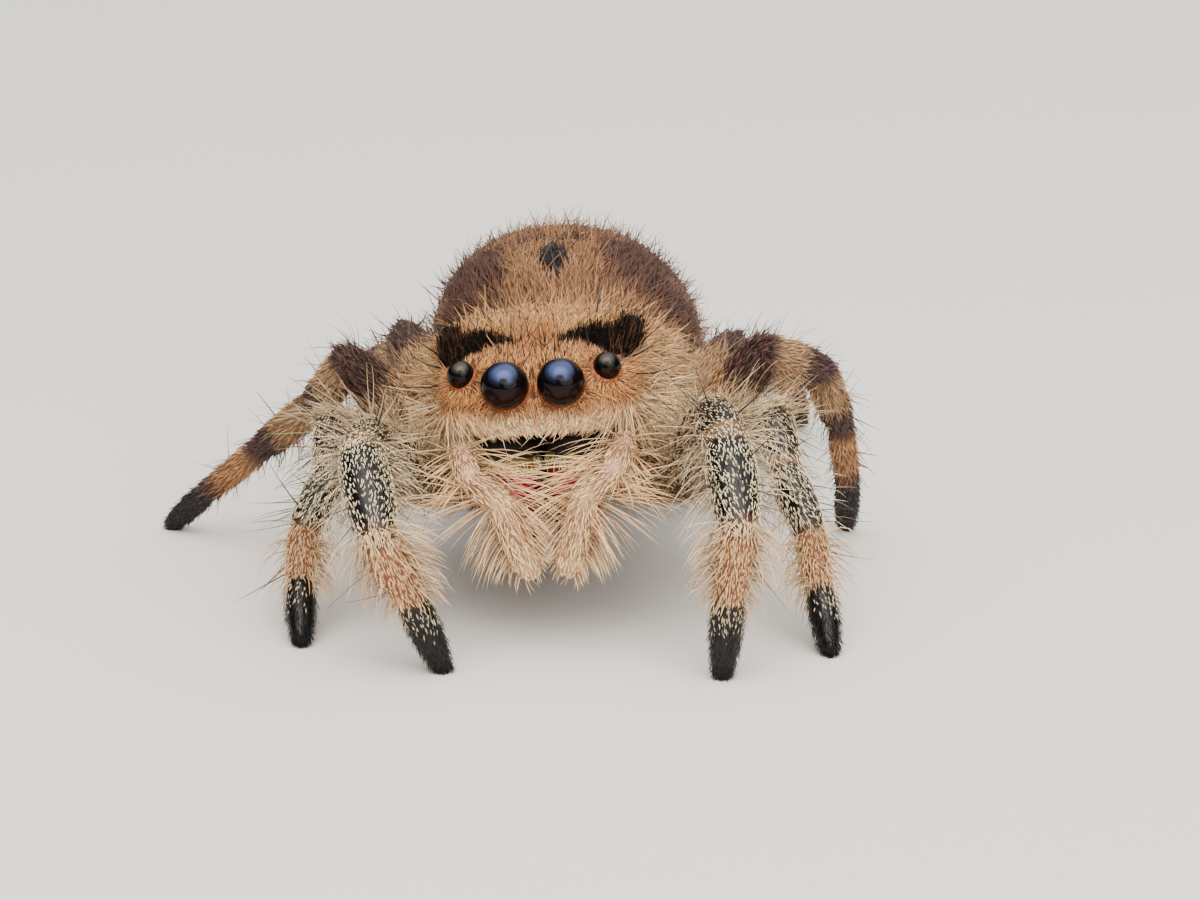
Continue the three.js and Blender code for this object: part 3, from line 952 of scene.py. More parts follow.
class HeadMarkings:
    """Colours of the head shield, in the head's frame."""

    @staticmethod
    def brow(points: Array) -> Array:
        """1 on the two dark brows, on top of the head between the eyes."""
        x, y, z = points.T
        mask = BROW.mask(np.abs(x), y + 0.04 * ripple(points, 0.5), 0.18)
        return mask * ease(4.66, 4.78, z) * ease(0.0, 0.03, eye_gap(points, EYES[1:2]))

    @staticmethod
    def lip(points: Array) -> Array:
        """1 on the clypeus, the lower edge of the face."""
        z = points[:, 2] + 0.08 * ripple(points, 0.5)
        return ease(4.28, 3.84, z) * (1.0 - ease(0.9, 1.5, points[:, 1]))

    @staticmethod
    def warm(points: Array) -> Array:
        """1 on the orange of the face, round the front eyes and up to the brows."""
        y = points[:, 1] + 0.14 * ripple(points, 0.7)
        ring = 1.0 - ease(0.05, 1.3, eye_gap(points, FRONT_EYES) + 0.1 * ripple(points, 0.6, 1.0))
        return ring * (1.0 - ease(0.8, 1.7, y)) * (1.0 - HeadMarkings.lip(points))

    @staticmethod
    def coat(points: Array) -> Array:
        """Colours of the hairs rooted at points of the head's frame."""
        x, y, z = points.T
        return layered(
            Palette.cheek,
            (Palette.crown, ease(4.3, 4.9, z)),
            (Palette.thorax, 0.9 * ease(3.0, 4.4, y + 0.25 * ripple(points, 1.6))),
            (Palette.halo, 0.6 * bell(x / 0.55) * ease(2.4, 3.4, y)),
            (Palette.face, HeadMarkings.warm(points)),
            (Palette.patch, 0.75 * bell(x / 0.32, (y - 1.25) / 0.45) * ease(4.6, 4.8, z)),
            (Palette.clypeus, HeadMarkings.lip(points)),
            (Palette.brow, HeadMarkings.brow(points)),
        )

    @staticmethod
    def skin(points: Array) -> Array:
        """Colours of the cuticle: the coat's own, darker, with bright rings round the front eyes."""
        return layered(
            HeadMarkings.coat(points) * (0.3 + 0.15 * HeadMarkings.lip(points))[:, None],
            (Palette.ember, HeadMarkings.warm(points)),
            (Palette.socket, 0.8 * (1.0 - ease(0.03, 0.08, eye_gap(points, FRONT_EYES)))),
            (Palette.brow, 0.9 * (1.0 - ease(0.04, 0.14, eye_gap(points, EYES[2:])))),
            (Palette.cuticle * 0.4, ease(3.72, 3.6, points[:, 2])),
        )


@dataclass(frozen=True)
class AbdomenMarkings:
    """Colours of the abdomen."""

    body: Abdomen

    def coat(self, points: Array) -> Array:
        """Colours of the hairs rooted at points.

        A cream front, a dark spot in a pale halo, purple-brown bands down both flanks that
        pale bars break, and pairs of pale crescents and dark dots behind.
        """
        t, side = self.body.pattern_place(points)
        lateral = np.abs(side)
        wave = 0.06 * ripple(points, 0.9, 2.0)
        flank = ease(0.16, 0.34, lateral + wave) * ease(1.18, 0.85, lateral - wave)
        flank = flank * ease(0.1, 0.22, t + wave) * ease(0.97, 0.86, t)
        bars = ease(0.35, 0.8, np.sin((t * 4.2 - 0.45 * lateral) * FULL_TURN))
        flank = flank * (1.0 - 0.75 * bars * ease(0.55, 0.75, lateral))
        crescent = bell((t - 0.5) / 0.03, (lateral - 0.33) / 0.12)
        crescent = crescent + bell((t - 0.7) / 0.025, (lateral - 0.28) / 0.1)
        across, along = side * 2.2, (t - 0.25) * (self.body.rear - self.body.front)
        dots = [np.hypot((lateral - size) / 0.09, (t - place) / 0.035)
                for place, size in ((0.42, 0.13), (0.58, 0.16), (0.74, 0.13))]
        belly = ease(1.25, 1.6, lateral)
        return layered(
            Palette.abdomen,
            (Palette.halo, 0.5 + 0.5 * ripple(points, 1.1)),
            (Palette.band, 0.92 * flank),
            (Palette.halo, 0.9 * ease(0.16, 0.07, t + wave)),
            (Palette.halo, np.clip(1.3 * crescent, 0.0, 1.0)),
            (Palette.halo, 0.85 * ease(1.0, 0.5, np.hypot(across / 0.75, along))),
            (Palette.spot, ease(1.15, 0.85, np.hypot(across / 0.2, along / 0.6))),
            *((Palette.spot * 1.6, 0.7 * ease(1.2, 0.7, dot_gap)) for dot_gap in dots),
            (Palette.belly, 0.85 * belly),
            (Palette.band, 0.6 * belly * ease(1.75, 1.9, lateral)),
        )

    def skin(self, points: Array) -> Array:
        """Colours of the cuticle under that coat."""
        return self.coat(points) * 0.35


@dataclass(frozen=True)
class Ramp:
    """Colours at places along a leg, read in between by straight lines."""

    places: tuple[float, ...]
    colours: tuple[Triple, ...]

    def at(self, place: Array) -> Array:
        """The colours at places, where each whole number is a joint."""
        stops = np.array([tone(*colour) for colour in self.colours])
        return stacked(*(np.interp(place, self.places, channel) for channel in stops.T))


FRONT_SKIN = Ramp(
    (0.0, 1.0, 1.7, 2.05, 2.82, 2.9, 3.0, 3.05, 3.93, 4.0, 4.12, 4.9, 4.99, 6.0),
    ((84, 58, 42), (92, 70, 52), (62, 50, 42), (14, 14, 14), (14, 14, 14), (110, 82, 58), (90, 68, 50),
     (6, 6, 7), (6, 6, 7), (58, 32, 20), (122, 74, 44), (116, 66, 38), (14, 12, 12), (8, 8, 9)),
)
FRONT_COAT = Ramp(
    (0.0, 1.0, 2.0, 2.7, 3.0, 3.9, 4.1, 5.0, 5.1, 6.0),
    ((160, 126, 92), (200, 170, 130), (220, 194, 152), (248, 224, 182), (255, 234, 196), (255, 230, 188),
     (236, 196, 146), (236, 198, 150), (244, 224, 184), (210, 194, 166)),
)
REAR_PLACES = (0.0, 1.0, 1.55, 1.7, 2.0, 2.1, 2.5, 2.65, 3.0, 3.08, 3.5, 3.65, 4.0, 4.1, 4.6, 4.8, 5.0, 6.0)
REAR_SKIN = Ramp(
    REAR_PLACES,
    ((84, 58, 42), (112, 84, 60), (112, 84, 60), (48, 34, 32), (44, 32, 30), (116, 90, 66), (112, 84, 62),
     (46, 34, 32), (42, 30, 30), (122, 94, 68), (112, 84, 58), (46, 32, 30), (44, 30, 28), (124, 86, 54),
     (112, 74, 48), (60, 40, 32), (26, 20, 20), (16, 14, 15)),
)
REAR_COAT = Ramp(
    REAR_PLACES,
    ((140, 104, 74), (186, 144, 100), (184, 142, 98), (88, 60, 50), (82, 56, 48), (196, 154, 108),
     (186, 144, 100), (86, 58, 50), (80, 54, 46), (198, 156, 110), (188, 144, 98), (84, 56, 48),
     (82, 54, 46), (200, 148, 98), (188, 134, 88), (94, 64, 50), (50, 38, 34), (32, 26, 25)),
)


class LimbMarkings:
    """Colours of the legs and palps by place along them; the legs' ramps by whether they are front."""

    leg_coat = {True: FRONT_COAT, False: REAR_COAT}
    leg_skin = {True: FRONT_SKIN, False: REAR_SKIN}

    @staticmethod
    def leg_gloss(leg: Leg, place: Array) -> Array:
        """The dark cuticle of the two front pairs shines from the patella down."""
        dark = ease(1.9, 2.1, place) * (1.0 - 0.6 * ease(3.95, 4.05, place) * ease(5.05, 4.95, place))
        return dark if leg.front else 0.3 * dark

    @staticmethod
    def palp_coat(place: Array) -> Array:
        """Cream hairs, a little browner at the root."""
        return layered(tone(206, 160, 114), (Palette.palp, ease(0.3, 1.6, place)))

    @staticmethod
    def palp_skin(place: Array) -> Array:
        """Grey-brown cuticle, palest at the joints."""
        return layered(tone(128, 92, 68), (tone(178, 142, 116), (0.5 + 0.5 * np.cos(FULL_TURN * place)) ** 3))


# ---- materials


class Nodes:
    """A node tree, with short calls for what this model's materials use."""

    def __init__(self, tree: bpy.types.NodeTree) -> None:
        """Wraps a tree."""
        self.tree = tree

    def feed(self, socket: Socket, value: object) -> None:
        """Links a socket to another, or gives it a value."""
        if isinstance(value, Socket):
            self.tree.links.new(value, socket)
        else:
            socket.default_value = value

    def add(self, kind: str, *plugs: object, **settings: object) -> bpy.types.Node:
        """Adds a node and feeds its inputs.

        Args:
            kind: Blender's name of the node type, after "ShaderNode".
            *plugs: Values or sockets for its first inputs.
            **settings: Properties of the node, or values or sockets for its inputs by name,
                with underscores for blanks.

        Returns:
            The node.
        """
        node = self.tree.nodes.new("ShaderNode" + kind)
        for socket, value in zip(node.inputs, plugs):
            self.feed(socket, value)
        for name, value in settings.items():
            socket = node.inputs.get(name.replace("_", " "))
            if socket is None:
                setattr(node, name, value)
            else:
                self.feed(socket, value)
        return node


def new_group(name: str, output: str, **inputs: object) -> tuple[Nodes, Sequence[Socket], Sequence[Socket]]:
    """A new shader node group; its sockets are numbers, but for those named Color.

    Args:
        name: Name of the group.
        output: Name of its output.
        **inputs: Defaults of its inputs by name.

    Returns:
        The wrapped tree, the sockets that give its inputs and those that take its output.
    """
    tree = bpy.data.node_groups.new(name, "ShaderNodeTree")
    kinds = {"Color": "NodeSocketColor"}
    for label, value in inputs.items():
        kind = kinds.get(label, "NodeSocketFloat")
        tree.interface.new_socket(label, in_out="INPUT", socket_type=kind).default_value = value
    tree.interface.new_socket(output, in_out="OUTPUT", socket_type=kinds.get(output, "NodeSocketFloat"))
    start, end = tree.nodes.new("NodeGroupInput"), tree.nodes.new("NodeGroupOutput")
    start.name, end.name = "in", "out"
    return Nodes(tree), start.outputs, end.inputs


class Effects:
    """The shared node groups, each built once."""

    def __init__(self) -> None:
        """Builds the groups."""
        self.mottle = self.build_mottle()
        self.grain = self.build_grain()

    @staticmethod
    def build_mottle() -> bpy.types.NodeTree:
        """Lightens and darkens a colour by noise in object space, as uneven hair does."""
        nodes, start, end = new_group("mottle", "Color", Color=(0.5, 0.5, 0.5, 1.0), Size=2000.0, Depth=0.2)
        place = nodes.add("TexCoord").outputs["Object"]
        noise = nodes.add("TexNoise", Detail=3.0, Roughness=0.6, Vector=place, Scale=start["Size"])
        centred = nodes.add("Math", noise.outputs["Fac"], 0.5, operation="SUBTRACT")
        scaled = nodes.add("Math", centred.outputs[0], start["Depth"], 1.0, operation="MULTIPLY_ADD")
        product = nodes.add("VectorMath", start["Color"], operation="SCALE", Scale=scaled.outputs[0])
        nodes.feed(end["Color"], product.outputs[0])
        return nodes.tree

    @staticmethod
    def build_grain() -> bpy.types.NodeTree:
        """Height of a fine pitted grain: noise over small cells."""
        nodes, start, end = new_group("grain", "Height", Size=6000.0, Pits=0.5)
        spread = {"Vector": nodes.add("TexCoord").outputs["Object"], "Scale": start["Size"]}
        noise = nodes.add("TexNoise", Detail=4.0, Roughness=0.65, **spread).outputs["Fac"]
        cells = nodes.add("TexVoronoi", feature="F1", **spread).outputs["Distance"]
        height = nodes.add("Math", cells, start["Pits"], noise, operation="MULTIPLY_ADD")
        nodes.feed(end["Height"], height.outputs[0])
        return nodes.tree


class Painter(Nodes):
    """A material's tree, with the parts that several finishes have."""

    def __init__(self, tree: bpy.types.NodeTree, effects: Effects) -> None:
        """Wraps a tree and keeps the shared groups."""
        super().__init__(tree)
        self.effects = effects

    def paint(self, size: float, depth: float) -> tuple[Socket, Socket]:
        """The marking's colour, mottled in so many waves to the metre and so deep, and its gloss."""
        marking = self.add("Attribute", attribute_name="marking").outputs
        mottle = self.add("Group", node_tree=self.effects.mottle, Size=size, Depth=depth,
                          Color=marking["Color"])
        return mottle.outputs["Color"], marking["Alpha"]

    def follow(self, gloss: Socket, dull: float, glossy: float) -> Socket:
        """A value that is dull where the gloss is 0 and glossy where it is 1."""
        return self.add("MapRange", To_Min=dull, To_Max=glossy, Value=gloss).outputs[0]

    def grain(self, size: float, strength: float) -> Socket:
        """Normals of a fine pitted bump, a fiftieth of a millimetre deep."""
        grain = self.add("Group", node_tree=self.effects.grain, Size=size, Pits=0.7)
        bump = self.add("Bump", Strength=strength, Distance=0.02 * MM, Height=grain.outputs["Height"])
        return bump.outputs["Normal"]


class Finish(ABC):
    """A finish: one Principled shader whose inputs each kind of finish states."""

    name: str

    @abstractmethod
    def inputs(self, painter: Painter) -> dict[str, object]:
        """Values or sockets for the shader's inputs, as Nodes.add takes them."""

    def material(self, effects: Effects) -> bpy.types.Material:
        """Builds the finish as a material."""
        material = bpy.data.materials.new(self.name)
        material.use_nodes = True
        material.node_tree.nodes.clear()
        painter = Painter(material.node_tree, effects)
        shader = painter.add("BsdfPrincipled", **self.inputs(painter))
        painter.add("OutputMaterial", Surface=shader.outputs["BSDF"])
        return material


@dataclass(frozen=True)
class HairFinish(Finish):
    """Finish of hairs: the marking's colour, mottled, with a soft shine."""

    name: str
    roughness: float = 0.5
    specular: float = 0.3
    sheen: float = 0.04

    def inputs(self, painter: Painter) -> dict[str, object]:
        """A plain shader with a little sheen."""
        colour, _ = painter.paint(1500.0, 0.35)
        return {"Base_Color": colour, "Roughness": self.roughness, "Specular_IOR_Level": self.specular,
                "Sheen_Weight": self.sheen, "Sheen_Roughness": 0.4}


@dataclass(frozen=True)
class CuticleFinish(Finish):
    """Finish of the bare skin: grained, and glossy where the marking's fourth value says so."""

    name: str = "cuticle"

    def inputs(self, painter: Painter) -> dict[str, object]:
        """Rough where dull, with a pitted bump."""
        colour, gloss = painter.paint(2500.0, 0.5)
        return {"Base_Color": colour, "Roughness": painter.follow(gloss, 0.75, 0.2),
                "Specular_IOR_Level": 0.3, "Normal": painter.grain(9000.0, 0.35)}


@dataclass(frozen=True)
class EyeFinish(Finish):
    """Finish of the eyes: very smooth, with a softer metallic shine on the painted highlight."""

    name: str = "eye"

    def inputs(self, painter: Painter) -> dict[str, object]:
        """The marking with its painted highlight, faintly clouded, and metallic by its gloss."""
        colour, gloss = painter.paint(4000.0, 0.25)
        return {"Base_Color": colour, "Metallic": gloss, "Roughness": painter.follow(gloss, 0.08, 0.32),
                "Specular_IOR_Level": 0.12}


@dataclass(frozen=True)
class JawFinish(Finish):
    """Finish of the jaws: metallic where the marking's gloss says so, with a fine pitted bump."""

    name: str = "iridescent_jaw"

    def inputs(self, painter: Painter) -> dict[str, object]:
        """Metal and polish both follow the gloss."""
        colour, gloss = painter.paint(3500.0, 0.9)
        return {"Base_Color": colour, "Metallic": painter.follow(gloss, 0.0, 0.75),
                "Roughness": painter.follow(gloss, 0.9, 0.28), "Specular_IOR_Level": 0.3,
                "Normal": painter.grain(7000.0, 0.5)}


@dataclass(frozen=True)
class PaperFinish(Finish):
    """Finish of the floor: dull pale paper."""

    name: str = "floor_paper"

    def inputs(self, painter: Painter) -> dict[str, object]:
        """One even colour."""
        return {"Base_Color": (0.72, 0.7, 0.67, 1.0), "Roughness": 0.9}


# ---- skin


def joined(meshes: Sequence[Mesh]) -> Mesh:
    """Several meshes, each of points and triangles, as one."""
    starts = np.cumsum([0, *(len(points) for points, _ in meshes)])
    faces = [triangles + start for (_, triangles), start in zip(meshes, starts)]
    return np.concatenate([points for points, _ in meshes]), np.concatenate(faces)


@dataclass
class Skin:
    """One closed skin for the whole animal, fused from its forms."""

    skeleton: Skeleton
    voxel: float = 0.075
    smoothing: int = 4

    def fused(self) -> Mesh:
        """Joins the forms' closed meshes and fuses them on a fine lattice.

        Returns:
            Points in millimetres and triangles.
        """
        points, triangles = joined([form.closed_mesh() for form in self.skeleton.forms()])
        mesh = bpy.data.meshes.new("forms")
        mesh.from_pydata(points.tolist(), [], triangles.tolist())
        raw = new_object("forms", mesh)
        remesh = raw.modifiers.new("fuse", "REMESH")
        remesh.mode = "VOXEL"
        remesh.voxel_size = self.voxel
        smooth = raw.modifiers.new("soften", "SMOOTH")
        smooth.factor = 0.5
        smooth.iterations = self.smoothing
        raw.modifiers.new("split", "TRIANGULATE")
        fused = raw.evaluated_get(bpy.context.evaluated_depsgraph_get()).to_mesh()
        places = np.empty(len(fused.vertices) * 3, np.float32)
        fused.vertices.foreach_get("co", places)
        corners = np.empty(len(fused.loops), np.int32)
        fused.loops.foreach_get("vertex_index", corners)
        raw.to_mesh_clear()
        bpy.data.objects.remove(raw)
        bpy.data.meshes.remove(mesh)
        return places.reshape(-1, 3).astype(float), corners.reshape(-1, 3)

    def markings(self, points: Array) -> tuple[Array, Array]:
        """Colour and gloss of the skin: each point takes them from the form it lies on.

        Args:
            points: Skin points.

        Returns:
            Colours and gloss.
        """
        bones = self.skeleton
        colours, gloss, nearest = np.zeros_like(points), np.zeros(len(points)), np.full(len(points), np.inf)

        def claim(form: Form) -> Array:
            """Marks the points that this form is nearest to so far."""
            level = form.level(points)
            mine = level < nearest
            nearest[mine] = level[mine]
            return mine

        mine = claim(bones.carapace)
        colours[mine] = HeadMarkings.skin(unrolled(points[mine]))
        mine = claim(bones.abdomen)
        colours[mine] = AbdomenMarkings(bones.abdomen).skin(points[mine])
        for form in bones.plain_forms():
            mine = claim(form)
            colours[mine] = Palette.cuticle
            gloss[mine] = 0.4
        for leg, limbs in bones.limbs.items():
            for limb in limbs:
                mine = claim(limb)
                place = limb.place(points[mine])
                colours[mine] = LimbMarkings.leg_skin[leg.front].at(place)
                gloss[mine] = LimbMarkings.leg_gloss(leg, place)
        for limb in (limb for limbs in bones.palps.values() for limb in limbs):
            mine = claim(limb)
            colours[mine] = LimbMarkings.palp_skin(limb.place(points[mine]))
        return colours, gloss

    def build(self, effects: Effects) -> None:
        """Makes the skin, flat under the feet, and dresses it."""
        points, triangles = self.fused()
        points[:, 2] = np.maximum(points[:, 2], 0.0)
        flesh = [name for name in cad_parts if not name.startswith(("eye_", "chelicera_"))]
        make_piece("skin", points, triangles, *self.markings(points), CuticleFinish().material(effects),
                   "abdomen_coat", flesh)


@dataclass
class EyeSet:
    """The eight eyes, each a fine ball."""

    rows: int = 44
    columns: int = 64
    azimuth: float = 4.0
    # Elevations of the painted highlight's centre and of the dark notch in it, the painted reflection of the
    # lens.
    highlight_rise: float = 48.0
    lens_notch_rise: float = 23.0

    def aim(self, elevation: float) -> Array:
        """Direction from a ball's centre at an elevation, towards the azimuth that the painted highlight
        faces.
        """
        turn, rise = math.radians(self.azimuth), math.radians(elevation)
        return vec(math.sin(turn) * math.cos(rise), -math.cos(turn) * math.cos(rise), math.sin(rise))

    def directions(self) -> Array:
        """Unit directions over a sphere with its poles in front and behind: rings at equal angles."""
        tilt = math.pi * np.arange(1, self.rows + 1)[:, None] / (self.rows + 1)
        turn = FULL_TURN * np.arange(self.columns) / self.columns
        rings = stacked(np.sin(tilt) * np.cos(turn), -np.cos(tilt), np.sin(tilt) * np.sin(turn))
        return np.concatenate([[[0.0, -1.0, 0.0]], rings.reshape(-1, 3), [[0.0, 1.0, 0.0]]])

    def build(self, effects: Effects) -> None:
        """Makes and dresses all eight eyes.

        A painted highlight lies on the upper front of each ball, a metallic cap whose colour stands
        in for the reflected softbox: blue in the two large eyes, grey in the next two and faint in the
        rest, lighter towards the top, with a small dark notch at its lower edge, the painted reflection
        of the lens; all round it the ball is nearly black, and dark red-brown below its middle, a
        painted reflection of warm surroundings.
        """
        finish = EyeFinish().material(effects)
        directions = self.directions()
        up = directions[:, 2]
        faces = tube_faces(self.rows, self.columns)[:, ::-1]
        # shine: the painted highlight, a soft cap on the upper front of the ball, with a painted dark notch
        # for the lens at its lower edge.
        shine = ease(0.78, 0.9, directions @ self.aim(self.highlight_rise)) * ease(0.2, 0.34, up)
        shine = shine * ease(0.99, 0.975, directions @ self.aim(self.lens_notch_rise))
        # dark: the ball is near-black above, and dark red-brown below its middle as a painted reflection of
        # warm surroundings.
        dark = layered(tone(24, 9, 8), (tone(7, 6, 8), ease(-0.1, 0.15, up)))
        highlight_tints = (tone(70, 80, 118), tone(76, 69, 64), tone(24, 20, 18), tone(24, 20, 18))
        # fall: the painted highlight is lighter towards the top of the ball.
        fall = mix(0.3, 1.0, ease(0.35, 0.85, up))
        for eye, highlight_tint in zip(EYES, highlight_tints):
            # The painted highlight is laid over the dark ball, and its gloss makes the same cap metallic.
            colours = layered(dark, (highlight_tint * fall[:, None], shine))
            for side in Side:
                points = rolled(directions * eye.radius + eye.centre(side))
                make_piece(f"ball_{eye.word}_{side.word}", points, faces, colours, 0.9 * shine, finish,
                           "eye", [f"eye_{eye.word}_{side.word}"])


@dataclass
class Mouth:
    """The two jaws with their fangs."""

    skeleton: Skeleton
    rows: int = 48
    columns: int = 40

    def fang(self, jaw: Jaw) -> Mesh:
        """A curved, tapering tube: a circle carried along a parabola from the jaw's end inwards.

        Args:
            jaw: The jaw that bears it.

        Returns:
            Points and triangles.
        """
        s = ring_places(self.rows)[:, None]
        start, end = jaw.point(jaw.tip), jaw.point(jaw.fang_tip)
        bow = jaw.point(jaw.fang_bow) - (start + end) / 2.0
        path = mix(start, end, s) + 4.0 * s * (1.0 - s) * bow * 0.35
        along = unit(np.gradient(path, axis=0))
        beside = unit(np.cross(along, vec(0, 1, 0)))
        above = np.cross(beside, along)
        turn = (FULL_TURN * np.arange(self.columns) / self.columns)[None, :, None]
        taper = np.sqrt(np.maximum(1.0 - s, 0.0)) * np.minimum(1.0, np.sqrt(s * 12.0))
        radius = jaw.fang_radius * 0.85 * taper
        circle = np.cos(turn) * beside[:, None] + np.sin(turn) * above[:, None]
        rings = path[:, None] + radius[:, None] * circle
        points = np.concatenate([start[None], rings.reshape(-1, 3), end[None]])
        return points, outward_faces(points, tube_faces(self.rows, self.columns))

    def build(self, effects: Effects) -> None:
        """Makes both jaws: magenta, through brown and olive to black at the top, and a dark tip."""
        material = JawFinish().material(effects)
        for side, jaw in self.skeleton.jaws.items():
            base, fang = jaw.base().closed_mesh(), self.fang(jaw)
            local = unrolled(base[0])
            z = local[:, 2] + 0.08 * ripple(local, 0.5)
            colours = layered(
                tone(168, 24, 74),
                (tone(128, 66, 32), ease(2.9, 2.98, z)),
                (tone(112, 104, 52), ease(3.04, 3.12, z)),
                (tone(7, 6, 6), ease(3.16, 3.24, z)),
                (tone(92, 24, 34), ease(2.6, 2.2, z)),
            )
            colours = np.concatenate([colours, np.broadcast_to(tone(84, 26, 16), fang[0].shape)])
            gloss = np.concatenate([ease(3.22, 3.1, z) * ease(3.4, 2.86, z), np.full(len(fang[0]), 0.4)])
            make_piece(f"jaw_{side.word}", *joined([base, fang]), colours, gloss, material, "chelicera",
                       [f"chelicera_{side.word}"])


# ---- hairs


@dataclass(frozen=True)
class Hair:
    """One kind of hair, as a thin solid spike of three sides."""

    length: float
    width: float
    lift: float = 16.0
    curve: float = 0.5
    stray: float = 12.0
    vary: float = 0.25
    rings: int = 2
    flat: float = 0.45
    outline: Outline = Outline.SCALE
    # The hair darkens towards its root and lightens towards its tip: painted shade between the hairs and
    # painted light on their tips.
    root_painted_shade: float = 0.42
    tip_painted_light: float = 1.08
    speckle: float = 0.2
    lock: float = 0.0

    def widths(self, s: Array) -> Array:
        """Width at s as a share of the full width."""
        if self.outline is Outline.SCALE:
            return np.sin(math.pi * (0.12 + 0.8 * s)) ** 0.7
        if self.outline is Outline.HAIR:
            return (1.0 - s**1.6) * mix(0.75, 1.0, np.minimum(1.0, s * 5.0))
        return 1.0 - 0.85 * s

    def spine(self, root: Array, heading: Array, pull: Array, length: Array) -> tuple[Array, Array]:
        """The middle line of each hair.

        Its direction is the heading plus s times the pull, brought to unit length, and the
        line is the running sum of those directions, each taken at the middle of its step.

        Args:
            root: Where each hair starts.
            heading: Unit direction in which it starts.
            pull: The vector that bends it.
            length: Its length.

        Returns:
            Points at the rings and the tip, and the directions there.
        """
        s = np.arange(self.rings + 1) / self.rings
        middle = (np.arange(self.rings) + 0.5) / self.rings
        moves, directions = (unit(heading[:, None] + place[None, :, None] * pull[:, None])
                             for place in (middle, s))
        moves = moves * (length[:, None, None] / self.rings)
        start = np.zeros((len(root), 1, 3))
        return root[:, None] + np.concatenate([start, np.cumsum(moves, axis=1)], axis=1), directions

    def faces(self) -> Array:
        """Triangles of one hair: a cap at the root, three sides between rings, and the tip."""
        base, corner = 3 * (self.rings - 1), np.arange(3)
        tip = stacked(base + corner, base + (corner + 1) % 3, base + 3)
        return np.concatenate([[[2, 1, 0]], side_faces(self.rings, 3), tip])


@dataclass(frozen=True)
class FineHair(Hair):
    """A hair that tapers all the way to its tip."""

    outline: Outline = Outline.HAIR


@dataclass(frozen=True)
class Bristle(FineHair):
    """A fine hair without the painted shade at its root."""

    root_painted_shade: float = 1.0


